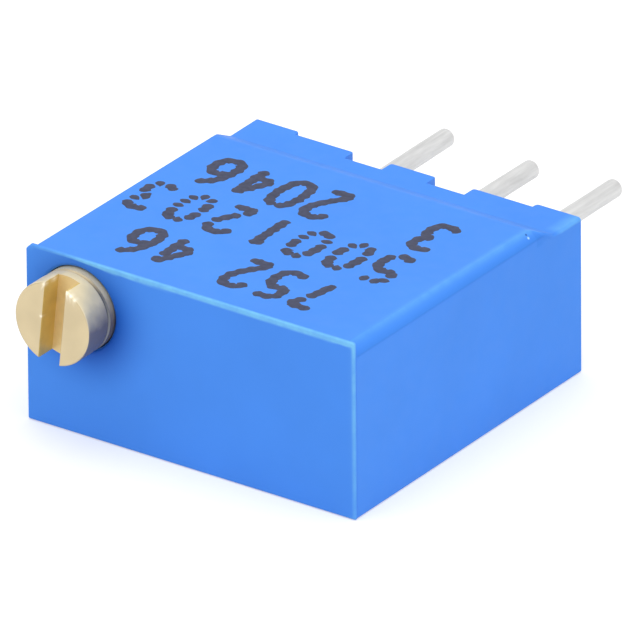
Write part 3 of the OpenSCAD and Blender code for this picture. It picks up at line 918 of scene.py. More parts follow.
    def inside(self, last: np.ndarray, end: np.ndarray) -> np.ndarray:
        """The rear face and the inside of the cup, from the rear edge to the front wall.

        Each point of the outside is moved to the nearest point of the inner section.

        Args:
            last: the last row of the outside, of shape (points, 3).
            end: where the rear edge is at each point.

        Returns:
            The rows, of shape (rows, points, 3).
        """
        e = self.rear_edge
        x, z = last[:, 0], last[:, 2]
        wheel_ceiling = np.where(x < self.bay_x, self.bay_ceiling, self.ceiling)
        rows = [
            (e * (1 - math.sin(t)), end - e * (1 - math.cos(t)), self.rear_ceiling) for t in quarter_turn(3)
        ]
        rear_y, front_y = self.inner_rows
        for y in (rear_y, self.step_y + self.short_run):
            rows.append((0.0, y + 0 * x, self.rear_ceiling))
        for y in (self.step_y, front_y, self.front + self.front_wall):
            rows.append((0.0, y + 0 * x, wheel_ceiling))
        points = np.stack([
            np.stack([np.clip(x, -self.inner_x - g, self.inner_x + g), y,
                      np.clip(z, self.inner_floor - g, ceiling + g)], -1)
            for g, y, ceiling in rows
        ])
        centre = np.array(SCREW_AXIS)
        for row in points[-2:]:
            away = row[:, [0, 2]] - centre
            length = np.maximum(np.hypot(*away.T), 1e-6)[:, None]
            row[:, [0, 2]] = centre + away / length * np.maximum(length, self.bore_r + self.bore_room)
        return points

    def surface(self) -> Surface:
        """The whole cup as one closed skin.

        The rows run from the bore's inner end to its mouth, over the front face to the outside, round the
        rear edge and back along the inside. The front face joins the bore's circle to the outer section:
        P = (1 - f) circle + f section, with each circle point in the section point's direction.

        Returns:
            The closed surface.
        """
        outside, end = self.skin()
        inside = self.inside(outside[-1], end)
        centre = np.array(SCREW_AXIS)
        away = outside[0][:, [0, 2]] - centre
        way = away / np.hypot(*away.T)[:, None]
        e, wall = self.bore_edge, self.front + self.front_wall
        bore = [(self.bore_r, y) for y in (wall, wall - self.short_run, self.bore_row,
                                           self.front + e + self.short_run)]
        bore += [
            (self.bore_r + e * (1 - math.cos(t)), self.front + e * (1 - math.sin(t))) for t in quarter_turn(4)
        ]
        r, y = np.array(bore).T[..., None]
        circles = stand(centre + r[..., None] * way, y)
        face = np.stack([(1 - f) * circles[-1] + f * outside[0] for f in self.face_shares])
        return Surface.from_rows(np.concatenate([circles, face, outside, inside]), wrap=True)

    def marks(self, points: np.ndarray) -> np.ndarray:
        """The painted highlights and the painted shade at each point: above 0 pale, below 0 dark.

        The rim carries a painted highlight along its front edge, more towards its right corner, and down its
        right side, less towards the floor. The right bevel and the ledge's right edge carry painted
        highlights, the bevel's lower edge a dark line of painted shade, and the ramp is a little darker with
        painted shade.

        Args:
            points: the piece's points in millimetres, of shape (count, 3).

        Returns:
            The mark of each point, from -1 to 1.
        """
        x, y, z = points.T
        painted_light = self.painted_light
        right = x - self.half_w
        # painted highlights along the rim's front edge, its top and its right side
        rim = rise(self.front + painted_light.rim_reach * self.edge - y, self.edge)
        highlight_z = self.rim_top - np.interp(x, painted_light.top_at, painted_light.top_widths)
        top = rise(z - highlight_z, painted_light.fade) * np.interp(x, painted_light.top_share_at, painted_light.top_shares)
        side = rise(right + painted_light.side_width, painted_light.fade) * np.interp(z, painted_light.side_at, painted_light.side_shares)
        above_ledge = z - self.ledge_top
        ledge = (y > self.ramp_to + painted_light.ledge_from) & (above_ledge > -painted_light.ledge_depth)
        low_edge = self.pad_top - self.bevel_right
        pad_from, pad_to = painted_light.pad_margins
        on_pad = (y > self.front + pad_from) & (y < self.ramp_from + pad_to)
        crease = bell(z - low_edge, painted_light.fade) * on_pad * (right > -self.edge)
        on_bevel = rise(right + self.bevel_right + painted_light.bevel_margin, painted_light.bevel_fade)
        bevel = on_bevel * on_pad * (z > low_edge + painted_light.fade)
        ramp_from, ramp_to = painted_light.ramp_margins
        ramp = (y > self.ramp_from + ramp_from) & (y < self.ramp_to + ramp_to)
        ramp = ramp & (above_ledge > -painted_light.ramp_depth)
        pale = painted_light.bevel * bevel + painted_light.ledge * ledge * (right > -painted_light.ledge_width)
        return np.maximum(rim * np.maximum(top, side), pale) - painted_light.crease * crease - painted_light.ramp * ramp

    def build(self, palette: Palette) -> bpy.types.Object:
        """Makes the housing and gives it its marks and its finish.

        Args:
            palette: hands out the finishes.

        Returns:
            The housing's piece.
        """
        piece = make_piece("housing_shell", self.surface(), "case", ("housing",))
        mark(piece, self.marks)
        palette.dress(piece, Look.BODY)
        return piece


# The adjustment screw


@dataclass
class AdjustmentScrew:
    """The brass screw: a slotted head, a turned shank, a worm, a tail and a journal."""

    head: float = -5.77
    radius: float = 1.065
    head_radius: float = 1.075
    chamfer: float = 0.045
    slot_w: float = 0.60
    slot_d: float = 0.57
    slot_turn: float = 6.2
    lobe_rows: Pair = (0.2, 0.4)
    face_rings: Four = (0.0, 0.4, 0.8, 0.97)
    wall_edge: float = 0.02
    line_at: Pair = (0.82, 0.885)
    line_d: float = 0.05
    line_edge: float = 0.015
    line_floor: float = 0.024
    line_shoulder: float = 0.4
    line_fades: Place = (4.0, 4.3, 0.3)
    line_margin: float = 0.02
    line_from_r: float = 0.9
    flank_from_r: float = 0.9585
    flank_from: float = 0.03
    level_normal: float = 0.75
    slot_slacks: Place = (0.015, 0.01, 0.02)
    # painted glints on the head's edges, where they catch the light
    glints: tuple[Four, ...] = (
        (-0.31, 0.98, 0.02, 0.055), (-0.31, 0.98, 0.40, 0.06), (-0.32, 0.10, 0.01, 0.035),
        (0.33, 0.97, 0.02, 0.05), (0.45, 0.95, 0.02, 0.05), (0.57, 0.89, 0.02, 0.045),
    )
    seal_groove: Place = (1.585, 1.995, 0.670)
    shank_end: float = 2.44
    neck: Pair = (2.72, 0.58)
    flange: Pair = (2.98, 0.85)
    wheel_y: float = -0.45
    worm_end: float = 7.27
    worm_overlap: float = 0.02
    worm_tip: float = 0.75
    worm_root: float = 0.30
    crest_half: float = 0.0587
    root_half: float = 0.2225
    pitch: float = 0.6283
    collar: Pair = (7.42, 0.78)
    tail: Pair = (8.71, 0.42)
    journal: Pair = (9.22, 0.28)
    journal_edge: float = 0.03

    def lobe(self, side: int) -> Surface:
        """One half of the slotted head.

        Its section is the part of a disc beyond the slot's wall at h: an arc of the head's radius R from -b
        to b, with b = acos(h / R), and the wall itself. Rows follow the depth, and the face closes on its
        middle.

        Args:
            side: 1 or -1, the side of the slot.

        Returns:
            The closed surface.
        """
        turn = quarter_turn(3)
        e = self.chamfer
        deeper = [*self.lobe_rows, self.slot_d]
        inset = np.concatenate([e * (1 - np.sin(turn)), [0, 0, 0]])
        wall_in = np.concatenate([self.wall_edge * (1 - np.sin(turn)), [0, 0, 0]])
        depth = np.concatenate([e * (1 - np.cos(turn)), deeper])[:, None]
        radius, wall = (self.head_radius - inset)[:, None], (self.slot_w / 2 + wall_in)[:, None]
        b = np.arccos(wall / radius)
        arc = np.linspace(-1, 1, 97)[None, :] * b
        back = np.linspace(1, -1, 41)[None, 1:-1] * radius * np.sin(b)
        out = np.concatenate([radius * np.cos(arc), wall + 0 * back], 1)
        along = np.concatenate([radius * np.sin(arc), back], 1)
        rows = self.turned(side * out, along, depth + 0 * out)
        middle = rows[:1].mean(1, keepdims=True)
        face = np.concatenate([middle + k * (rows[:1] - middle) for k in self.face_rings])
        return Surface.from_rows(np.concatenate([face, rows, middle_of(rows[-1:])]))

    def turned(self, out: np.ndarray, along: np.ndarray, depth: np.ndarray) -> np.ndarray:
        """Places points that are given across the slot, along it and from the head's face inwards.

        Args:
            out: how far across the slot each point lies from the axis.
            along: how far along the slot it lies from the axis.
            depth: how far behind the head's face it lies.

        Returns:
            The points' places, as (x, y, z).
        """
        t = math.radians(self.slot_turn)
        x = SCREW_AXIS[0] + out * math.cos(t) + along * math.sin(t)
        z = SCREW_AXIS[1] - out * math.sin(t) + along * math.cos(t)
        return np.stack([x, self.head + depth, z], -1)

    def shank(self) -> Surface:
        """The turned part from the slot's floor to the flange.

        Returns:
            The closed surface.
        """
        a, b = self.line_at
        g0, g1, g_r = self.seal_groove
        r, small, floor = self.radius, self.line_edge, self.line_floor / 2
        middle, low, upper = (a + b) / 2, r - self.line_d, r - self.line_shoulder * self.line_d
        profile = [
            (self.slot_d, 0), (self.slot_d, r), (a - 2 * small, r), (a - small, r), (a, upper),
            (middle - floor, low), (middle + floor, low), (b, upper), (b + small, r), (b + 2 * small, r),
            (g0, r), (g0, g_r), (g1, g_r), (g1, r), (self.shank_end, r), (self.shank_end, self.neck[1]),
            self.neck, (self.neck[0], self.flange[1]), self.flange, (self.flange[0], 0),
        ]
        return lathe(profile, self.head, 128)

    def worm(self) -> Surface:
        """The thread.

        Formula: with a = |wrap(t + 2 pi (y - wheel_y) / pitch)| pitch / (2 pi), the distance along the
        axis from the crest's middle, the radius falls from worm_tip to worm_root as a goes from
        crest_half to root_half.

        Returns:
            The closed surface.
        """
        first, last = self.flange[0] - self.worm_overlap, self.worm_end + self.worm_overlap
        y = np.linspace(self.head + first, self.head + last, 260)[:, None]
        t = full_turn(96)[None, :]
        phase = (t + 2 * np.pi * (y - self.wheel_y) / self.pitch + np.pi) % (2 * np.pi) - np.pi
        a = np.abs(phase) * self.pitch / (2 * np.pi)
        r = np.interp(a, [self.crest_half, self.root_half], [self.worm_tip, self.worm_root])
        rows = rings(SCREW_AXIS, y, r, t)
        return Surface.from_rows(np.concatenate([middle_of(rows[:1]), rows, middle_of(rows[-1:])]))

    def rear(self) -> Surface:
        """The collar, the tail and the journal behind the thread.

        Returns:
            The closed surface.
        """
        (end, r), edge = self.journal, self.journal_edge
        profile = [
            (self.worm_end, 0), (self.worm_end, self.collar[1]), self.collar, (self.collar[0], self.tail[1]),
            self.tail, (self.tail[0], r), (end - edge, r), (end, r - edge), (end, 0),
        ]
        return lathe(profile, self.head, 64)

    def finish_numbers(self, piece: bpy.types.Object) -> np.ndarray:
        """The finish of each face: 0 bright, 1 on the slot's walls, 2 on the flank, 3 on the slot's floor.

        A face is in the slot where its middle lies within the slot's width and depth, give or take the
        slacks at its walls, its mouth and its floor, and on the flank where its normal stands across the
        axis, near the full radius and in front of the seal's groove.

        Args:
            piece: the screw's piece.

        Returns:
            The number of each face's finish.
        """
        mesh = piece.data
        middle, normal = (np.empty(3 * len(mesh.polygons)) for _ in range(2))
        mesh.polygons.foreach_get("center", middle)
        mesh.polygons.foreach_get("normal", normal)
        x, y, z = (middle.reshape(-1, 3) / MM).T
        x, depth, z = x - SCREW_AXIS[0], y - self.head, z - SCREW_AXIS[1]
        t = math.radians(self.slot_turn)
        across = np.abs(x * math.cos(t) - z * math.sin(t))
        along_y = np.abs(normal.reshape(-1, 3)[:, 1])
        at_wall, at_mouth, at_floor = self.slot_slacks
        floor = (np.abs(depth - self.slot_d) < at_floor) & (along_y > self.level_normal)
        in_slot = (across < self.slot_w / 2 + at_wall) & (depth > at_mouth) & (depth < self.slot_d + at_floor)
        at_rim = (np.hypot(x, z) > self.flank_from_r) & (along_y < self.level_normal)
        flank = at_rim & (depth > self.flank_from) & (depth < self.seal_groove[0])
        # finish 1, on the slot's walls, is a darker copy of the floor's: painted shade
        return np.select([floor, in_slot, flank], [3, 1, 2], 0)

    def marks(self, points: np.ndarray) -> np.ndarray:
        """The painted glints on the head's edges, above 0, and the painted shade in the turned groove, below
        0.

        The groove's painted shade is full up to the first height in line_fades, and fades to the third value
        at the second, so it is darker lower down. Each glint is given across the slot, along it, from the
        face inwards, and by its width.

        Args:
            points: the piece's points in millimetres, of shape (count, 3).

        Returns:
            The mark of each point, from -1 to 1.
        """
        out, along, depth, width = np.array(self.glints).T
        far = np.linalg.norm(points[:, None] - self.turned(out, along, depth)[None], axis=2)
        a, b = self.line_at
        at = points[:, 1] - self.head
        r = np.hypot(*(points[:, [0, 2]] - SCREW_AXIS).T)
        on_line = (at > a - self.line_margin) & (at < b + self.line_margin) & (r > self.line_from_r)
        full, faint, least = self.line_fades
        return bell(far, width).max(1) - on_line * np.interp(points[:, 2], [full, faint], [1.0, least])

    def build(self, palette: Palette) -> bpy.types.Object:
        """Makes the screw and gives its faces their finishes.

        Args:
            palette: hands out the finishes.

        Returns:
            The screw's piece.
        """
        parts = [self.lobe(1), self.lobe(-1), self.shank(), self.worm(), self.rear()]
        surface = Surface.joined(parts)
        piece = make_piece("screw_turned", surface, "screw", ("adjustment_screw",))
        mark(piece, self.marks)
        palette.dress(piece, Look.BRASS, Look.SHADED_SLOT_WALLS, Look.FLANK, Look.SLOT_FLOOR)
        piece.data.polygons.foreach_set("material_index", self.finish_numbers(piece).astype(np.int32))
        return piece


# The pins and the resin round them


@dataclass
class TerminalPin:
    """A round tinned wire pin, a little bent and uneven where it stands free."""

    number: int
    x: float
    tip: float
    shift: Pair
    lean: Pair
    start: float = 2.61
    height: float = 2.14
    radius: float = 0.24
    neck: Pair = (3.55, 4.30)
    neck_half: float = 0.1646
    bend_from: float = 4.25
    bend_length: float = 0.8
    tip_round: float = 0.09
    lumps: tuple[Pair, Pair] = ((0.006, 2.3), (0.004, 5.1))
    lumps_from: float = 0.05
    short_run: float = 0.001

    def surface(self) -> Surface:
        """The pin as rings along a bent line.

        Formula: the line leaves the straight one behind the resin, by shift * smooth(s) + lean * past, where
        past is the way from bend_from, s is past / bend_length up to 1 and smooth(s) = s^2 (3 - 2 s). The
        radius is radius * (1 + a sin(w y + k number)), summed over the (a, w) of the lumps with k = 1, 2,
        from lumps_from past the neck on, and a quarter circle of tip_round closes the tip. On the neck it
        is cut to a square, half / max(|cos|, |sin|).

        Returns:
            The closed surface.
        """
        turn = quarter_turn(6)
        first, last = self.neck
        tip_from = self.tip - self.tip_round
        after = last + self.short_run
        body = np.linspace(after + self.short_run, tip_from, 70)
        y = np.concatenate([[self.start, self.start, first, first + self.short_run, last, after],
                            body, tip_from + self.tip_round * np.sin(turn[1:]), [self.tip]])
        r = np.concatenate([[0], np.full(5, self.radius), 0 * body + self.radius,
                            self.radius - self.tip_round * (1 - np.cos(turn[1:])), [0]])
        grown = sum(a * np.sin(y * w + k * self.number) for k, (a, w) in enumerate(self.lumps, 1))
        r = np.where(y > last + self.lumps_from, r * (1 + grown), r)[:, None]
        past = np.clip(y - self.bend_from, 0, None)
        smooth = rise(past, self.bend_length)
        smooth = smooth * smooth * (3 - 2 * smooth)
        centre_x = self.x + self.shift[0] * smooth + self.lean[0] * past
        centre_z = self.height + self.shift[1] * smooth + self.lean[1] * past
        t = full_turn(48)[None, :]
        square = self.neck_half / np.maximum(np.abs(np.cos(t)), np.abs(np.sin(t)))
        on_neck = ((y > first) & (y <= last))[:, None]
        r = np.where(on_neck, np.minimum(square, r), r)
        return Surface.from_rows(rings((centre_x[:, None], centre_z[:, None]), y[:, None], r, t))

    def build(self, palette: Palette) -> bpy.types.Object:
        """Makes the pin and gives it its finish.

        Args:
            palette: hands out the finishes.

        Returns:
            The pin's piece.
        """
        piece = make_piece(f"pin_{self.number}_tinned", self.surface(), "case",
                           (f"terminal_pin_{self.number}",))
        palette.dress(piece, Look.WIRE)
        return piece


@dataclass
class PottingSeal:
    """The cast resin: level in the middle, drawn up at the walls and round the pins."""

    pins: list[TerminalPin]
    half_w: float = 4.205
    low: float = 0.51
    high: float = 3.77
    back: float = 3.57
    level: float = 4.14
    sunk: float = 0.03
    climb: float = 0.06
    climb_reach: float = 0.12
    pin_climb: float = 0.17
    pin_reach: float = 0.09
    loop_points: int = 90

    def surface(self) -> Surface:
        """The resin as concentric loops over its face, with its sides and its back.

        Formula: y = level + climb exp(-w / climb_reach) + pin_climb exp(-p / pin_reach) - sunk, with w the
        distance to the nearest wall and p the distance to the nearest pin's squared neck. The loops are
        rectangles whose points crowd towards their corners, and they crowd towards the walls.

        Returns:
            The closed surface.
        """
        run = np.linspace(-1, 1, self.loop_points)
        a = np.sign(run) * np.abs(run) ** 0.8
        edge_x = np.concatenate([a, 0 * a + 1, a[::-1], 0 * a - 1])
        edge_z = np.concatenate([0 * a - 1, a, 0 * a + 1, a[::-1]])
        # even steps to nine tenths of the way out, and ever closer ones from there to the walls
        scale = np.concatenate([np.linspace(0, 0.9, 60), 1 - 0.1 * np.linspace(1, 0, 16)[1:] ** 1.5])[:, None]
        x = scale * edge_x * self.half_w
        mid, half = (self.low + self.high) / 2, (self.high - self.low) / 2
        z = mid + scale * edge_z * half
        wall = np.minimum(self.half_w - np.abs(x), half - np.abs(z - mid))
        pins = [np.maximum(np.abs(x - p.x), np.abs(z - p.height)) - p.neck_half for p in self.pins]
        at_pin = self.pin_climb * np.exp(-np.clip(np.min(pins, axis=0), 0, None) / self.pin_reach)
        y = self.level + self.climb * np.exp(-wall / self.climb_reach) + at_pin - self.sunk
        face = np.stack([x, y, z], -1)
        side = face[-1:].copy()
        side[..., 1] = self.back
        middle = side * [0, 1, 0] + [0, 0, mid]
        return Surface.from_rows(np.concatenate([face, side, middle]))

    def build(self, palette: Palette) -> bpy.types.Object:
        """Makes the resin and gives it its finish.

        Args:
            palette: hands out the finishes.

        Returns:
            The resin's piece.
        """
        piece = make_piece("potting_cast", self.surface(), "case", ("potting_seal",))
        palette.dress(piece, Look.RESIN)
        return piece


# The marking


@dataclass
class PadMarking:
    """Plain numbers on the pad, read from the pins' side, jetted in dots of thick dark ink.

    Each row is given by its Y, its first figure's X, its step, the width of its lines, how often its dots
    stand apart, and its text. No line is cut nearer to its end than whole_end of a dot. Each bead lies lift
    higher than the one before, and after every few, as many as lifts says, they start from the pad again,
    so that beads that cross don't lie in one plane.
    """

    pad: Housing
    rows: tuple[tuple[float, float, float, float, float, str], ...] = (
        (-2.96, 2.41, 1.02, 0.31, 0.04, "752 46"), (-0.80, 2.99, 1.15, 0.31, 0.5, "5001203"),
        (1.19, 2.94, 1.04, 0.31, 0.0, "3  2046"),
    )
    letter_h: float = 1.42
    letter_w: float = 0.66
    dot: float = 0.27
    gap: float = 0.045
    lump: float = 0.22
    thickness: float = 0.008
    sunk: float = 0.004
    lift: float = 0.0006
    lifts: int = 5
    rough: float = 0.07
    drift: float = 0.01
    whole_end: float = 0.6
    run_points: int = 60
    point_step: float = 0.03
    least_points: int = 12
    seed: int = 7

    def strokes(self, digit: str) -> list[list[Pair]]:
        """The lines of a digit in a box one wide and one high, each as corners to be rounded.

        Args:
            digit: the digit, from 0 to 7.

        Returns:
            The digit's lines, as lists of (x, y) corners.
        """
        return {
            "0": [[(0.5, 1), (0.12, 0.93), (0, 0.6), (0, 0.4), (0.12, 0.07), (0.5, 0), (0.88, 0.07), (1, 0.4),
                   (1, 0.6), (0.88, 0.93), (0.5, 1)]],
            "1": [[(0.5, 1.04), (0.5, 0.7), (0.5, 0.3), (0.5, -0.04)], [(0.5, 1.0), (0.22, 0.82)]],
            "2": [[(0.03, 0.78), (0.15, 1), (0.85, 1), (1, 0.72), (0.7, 0.42), (0.05, 0.0)],
                  [(0.02, 0), (1, 0)]],
            "3": [[(0.05, 0.9), (0.4, 1.02), (0.95, 0.95), (0.9, 0.6), (0.45, 0.54)],
                  [(0.5, 0.54), (0.98, 0.48), (0.98, 0.05), (0.45, -0.02), (0.02, 0.12)]],
            "4": [[(0.75, 0), (0.75, 0.5), (0.75, 1), (0.75, 1)], [(0.72, 0.98), (0.3, 0.6), (0.0, 0.3)],
                  [(0.0, 0.3), (1, 0.3)]],
            "5": [[(0.95, 1), (0.1, 1)], [(0.1, 1), (0.08, 0.56)],
                  [(0.08, 0.56), (0.6, 0.66), (1, 0.5), (0.98, 0.08), (0.5, -0.03), (0.02, 0.1)]],
            "6": [[(0.85, 1), (0.25, 0.82), (0.0, 0.4), (0.1, 0.02), (0.55, -0.02), (1, 0.1), (0.95, 0.5),
                   (0.5, 0.58), (0.08, 0.42)]],
            "7": [[(0.02, 1), (0.98, 1)], [(0.98, 1), (0.6, 0.6), (0.4, 0.0)]],
        }[digit]

    def line(self, corners: list[Pair]) -> np.ndarray:
        """Rounds a line through its corners: cuts each corner at a quarter, three times over.

        Formula: each side from P to Q gives 3/4 P + 1/4 Q and 1/4 P + 3/4 Q, and the two ends stay.

        Args:
            corners: the line's corners.

        Returns:
            The rounded line's points, of shape (count, 2).
        """
        points = np.array(corners, float)
        for _ in range(3):
            p, q = points[:-1], points[1:]
            cut = np.stack([0.75 * p + 0.25 * q, 0.25 * p + 0.75 * q], 1).reshape(-1, 2)
            points = np.concatenate([points[:1], cut, points[-1:]])
        return points

    def broken(
        self, path: np.ndarray, apart: float, rng: np.random.Generator
    ) -> list[tuple[float, np.ndarray]]:
        """Cuts a path between two dots at some places, and takes the gap out there.

        Args:
            path: (x, y) points in millimetres.
            apart: how often two dots stand apart, from 0 to 1.
            rng: the seeded source of the choice.

        Returns:
            The pieces of the path, each with how far along the path it starts.
        """
        at = ways_along(path)
        cuts = np.arange(self.dot, at[-1] - self.whole_end * self.dot, self.dot)
        cuts = cuts[rng.random(len(cuts)) < apart]
        starts, ends = np.append(0, cuts + self.gap / 2), np.append(cuts - self.gap / 2, at[-1])
        runs = [np.linspace(a, b, self.run_points) for a, b in zip(starts, ends)]
        return [(s[0], np.stack([np.interp(s, at, path[:, k]) for k in (0, 1)], -1)) for s in runs]

    def ribbon(
        self, path: np.ndarray, begin: float, stroke: float, lift: float, rng: np.random.Generator
    ) -> Surface:
        """A shallow bead of ink along a path in the pad's plane.

        Formula: at the way s along the path, half of the width is w sqrt(1 - (1 - d / w)^2), with d the
        distance to the nearer end, times 1 - lump cos(pi s / dot)^2 and an uneven factor; round it, the
        bead is cos and sin of an angle, as high as the thickness above the pad and as deep as the sinking
        below it.

        Args:
            path: (x, y) points in millimetres.
            begin: how far along its whole line the path starts.
            stroke: the line's full width.
            lift: how much higher this bead lies than the first.
            rng: the seeded source of the unevenness.

        Returns:
            The closed surface.
        """
        at = ways_along(path)
        length, half = at[-1], stroke / 2
        count = max(self.least_points, int(length / self.point_step))
        s = length * (1 - np.cos(np.linspace(0, np.pi, count))) / 2
        s = 0.5 * s + 0.5 * np.linspace(0, length, count)
        x, y = (np.interp(s, at, path[:, k]) for k in (0, 1))
        dx, dy = np.gradient(x), np.gradient(y)
        size = np.maximum(np.hypot(dx, dy), 1e-9)
        ends = rise(np.minimum(s, length - s), min(half, length / 2))
        dots = 1 - self.lump * np.cos(np.pi * (s + begin) / self.dot) ** 2
        width = half * np.sqrt(1 - (1 - ends) ** 2) * dots
        knots = count // 2 + 3
        rough = [
            np.interp(s, np.linspace(0, length, knots), rng.normal(0, self.rough, knots))[:, None]
            for _ in range(2)
        ]
        t = full_turn(16)[None, :]
        out = np.cos(t) * width[:, None] * (1 + np.where(np.cos(t) > 0, *rough))
        up = np.where(np.sin(t) > 0, self.thickness + lift, self.sunk) * np.sin(t) * ends[:, None] ** 0.5
        px = x[:, None] - out * (dy / size)[:, None]
        py = y[:, None] + out * (dx / size)[:, None]
        return Surface.from_rows(np.stack([px, py, self.pad.top(py) + up], -1))

    def surface(self) -> Surface:
        """All numbers of all rows: text reads towards -X, with its top towards -Y.

        Returns:
            All beads of ink as one surface.
        """
        rng = np.random.default_rng(self.seed)
        beads = []
        for y, first, step, stroke, apart, text in self.rows:
            for k, digit in enumerate(text):
                if digit == " ":
                    continue
                x0 = first - k * step + self.letter_w / 2
                for corners in self.strokes(digit):
                    flat = self.line(corners)
                    path = np.stack([x0 - flat[:, 0] * self.letter_w,
                                     y - (flat[:, 1] - 0.5) * self.letter_h], -1)
                    path = path + rng.normal(0, self.drift, 2)
                    for begin, run in self.broken(path, apart, rng):
                        lift = self.lift * (len(beads) % self.lifts)
                        beads.append(self.ribbon(run, begin, stroke, lift, rng))
        return Surface.joined(beads)

    def build(self, palette: Palette) -> bpy.types.Object:
        """Makes the marking and gives it its ink.

        Args:
            palette: hands out the finishes.

        Returns:
            The marking's piece.
        """
        piece = make_piece("pad_marking", self.surface(), "case", crease=80.0)
        palette.dress(piece, Look.INK)
        return piece


# The pieces held inside


@dataclass
class InnerWorks:
    """The pieces that keep their CAD shape: each gets its finish."""

    looks: dict[str, Look] = field(default_factory=lambda: {
        "seal_ring": Look.RUBBER, "screw_retainer": Look.STEEL, "gear_rotor": Look.NATURAL,
        "wiper_spring": Look.BRONZE, "ceramic_substrate": Look.CERAMIC, "resistive_track": Look.CERMET,
        "collector_track": Look.PASTE, "end_conductor_1": Look.PASTE, "end_conductor_3": Look.PASTE,
        "solder_joint_1": Look.SOLDER, "solder_joint_2": Look.SOLDER, "solder_joint_3": Look.SOLDER,
        "rear_plug": Look.PLUG,
    })

    def build(self, palette: Palette) -> None:
        """Gives every inner node its finish.

        Args:
            palette: hands out the finishes.
        """
        for node, look in self.looks.items():
            palette.dress(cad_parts[node], look)
            LOG.info("%s: dressed in %s", node, look.value.name)


# The studio


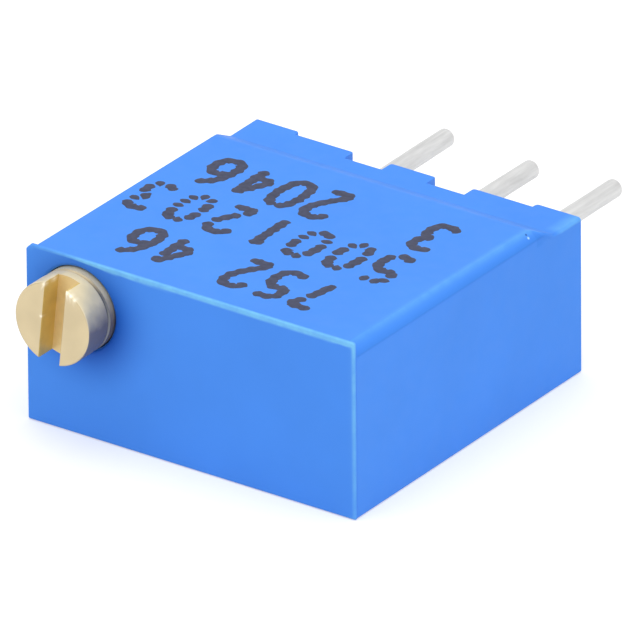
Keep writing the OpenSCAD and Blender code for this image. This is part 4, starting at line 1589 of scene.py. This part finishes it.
@dataclass
class Studio:
    """The pale floor, the soft lights and the camera at the photograph's place."""

    azimuth: float = 35.2309
    elevation: float = 26.6731
    roll: float = -0.4457
    aim: Pair = (0.3433, 1.7878)
    distance: float = 600.0
    pixels_per_mm: float = 41.9198
    image_side: float = 640.0
    sensor: float = 36.0
    clip: Pair = (0.05, 20.0)
    floor_half: float = 3.0
    floor_z: float = -1e-5
    paper: Pair = (0.78, 0.80)
    paper_grain: float = 30.0
    floor_glow: float = 0.36
    world_light: float = 0.62
    lamps: tuple[tuple[str, Place, float, float], ...] = (
        ("overhead", (0, -20, 300), 300, 0.44), ("right_side", (320, 20, 110), 250, 0.22),
        ("front_side", (-120, -300, 110), 250, 0.16),
    )

    def camera(self) -> None:
        """Sets the camera up.

        Formula: with a the azimuth and e the elevation, back = (sin a cos e, -cos a cos e, sin e), right =
        (cos a, sin a, 0), up = back x right; right and up are then rolled, and the camera stands at
        aim_x right + aim_y up + distance back. The focal length is sensor * pixels_per_mm * distance / side.
        """
        a, e, r = (math.radians(v) for v in (self.azimuth, self.elevation, self.roll))
        back = np.array([math.sin(a) * math.cos(e), -math.cos(a) * math.cos(e), math.sin(e)])
        right = np.array([math.cos(a), math.sin(a), 0])
        up = np.cross(back, right)
        right, up = right * math.cos(r) + up * math.sin(r), up * math.cos(r) - right * math.sin(r)
        place = (right * self.aim[0] + up * self.aim[1] + back * self.distance) * MM
        data = bpy.data.cameras.new("camera")
        data.sensor_width = self.sensor
        data.lens = self.sensor * self.pixels_per_mm * self.distance / self.image_side
        data.clip_start, data.clip_end = self.clip
        camera = bpy.data.objects.new("camera", data)
        turn = Matrix((right, up, back)).transposed().to_4x4()
        camera.matrix_world = Matrix.Translation(Vector(place)) @ turn
        bpy.context.scene.collection.objects.link(camera)
        bpy.context.scene.camera = camera

    def floor(self) -> None:
        """Lays the pale floor, which looks white to the camera and keeps a faint shadow."""
        s, z = self.floor_half, self.floor_z
        mesh = bpy.data.meshes.new("floor")
        mesh.from_pydata([(-s, -s, z), (s, -s, z), (s, s, z), (-s, s, z)], [], [(0, 1, 2, 3)])
        floor = bpy.data.objects.new("floor", mesh)
        bpy.context.scene.collection.objects.link(floor)
        sheet = NodeSheet(bpy.data.materials.new("floor_paper"))
        paper = sheet.patches(self.paper_grain, *self.paper)
        sheet.shade(Base_Color=sheet.node("CombineColor", Red=paper, Green=paper, Blue=paper), Roughness=0.9,
                    Specular_IOR_Level=0.1)
        strength = sheet.maths("MULTIPLY", sheet.seen(), self.floor_glow)
        glow = sheet.node("Emission", Color=(1, 1, 1, 1), Strength=strength)
        total = sheet.node("AddShader", in0=sheet.shader.outputs[0], in1=glow)
        sheet.put(sheet.tree.nodes["Material Output"].inputs["Surface"], total)
        mesh.materials.append(sheet.owner)

    def world(self) -> None:
        """An even pale world that the camera, gloss and glass see as white."""
        sheet = NodeSheet(bpy.data.worlds.new("studio"))
        sheet.shade(Color=(1, 1, 1, 1), Strength=sheet.ramp(sheet.seen(), 0.0, 1.0, self.world_light, 1.0))
        bpy.context.scene.world = sheet.owner

    def lamp(self, name: str, place: Place, size: float, power: float) -> None:
        """Hangs a square soft light that looks at the part, with its place and size in millimetres.

        Args:
            name: the light's name.
            place: where it hangs, in millimetres.
            size: the length of its sides, in millimetres.
            power: its power in watts.
        """
        data = bpy.data.lights.new(name, "AREA")
        data.shape = "SQUARE"
        data.size = size * MM
        data.energy = power
        lamp = bpy.data.objects.new(name, data)
        lamp.location = Vector(place) * MM
        lamp.rotation_euler = (-Vector(place)).to_track_quat("-Z", "Y").to_euler()
        bpy.context.scene.collection.objects.link(lamp)

    def build(self) -> None:
        """Sets up the floor, the world, a large soft light overhead, two weaker ones and the camera."""
        bpy.context.scene.view_settings.view_transform = "Standard"
        self.floor()
        self.world()
        for name, place, size, power in self.lamps:
            self.lamp(name, place, size, power)
        self.camera()


def corners(box: tuple[Vector, Vector]) -> list[list[float]]:
    """A box as plain lists of numbers."""
    return [list(box[0]), list(box[1])]


def main() -> None:
    """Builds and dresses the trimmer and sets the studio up."""
    logging.basicConfig(level=logging.INFO, format="%(name)s: %(message)s")
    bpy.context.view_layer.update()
    palette = Palette()
    housing = Housing()
    pins = [
        TerminalPin(number=1, x=-2.54, tip=9.62, shift=(0.0, 0.090), lean=(0.0, 0.003)),
        TerminalPin(number=2, x=0.0, tip=9.54, shift=(0.0, 0.040), lean=(0.0, -0.009)),
        TerminalPin(number=3, x=2.54, tip=9.46, shift=(-0.06, 0.225), lean=(0.0, -0.003)),
    ]
    for part in (housing, AdjustmentScrew(), *pins, PottingSeal(pins), PadMarking(housing), InnerWorks()):
        part.build(palette)
    Studio().build()
    LOG.info("boxes written")


if __name__ == "__main__":
    main()
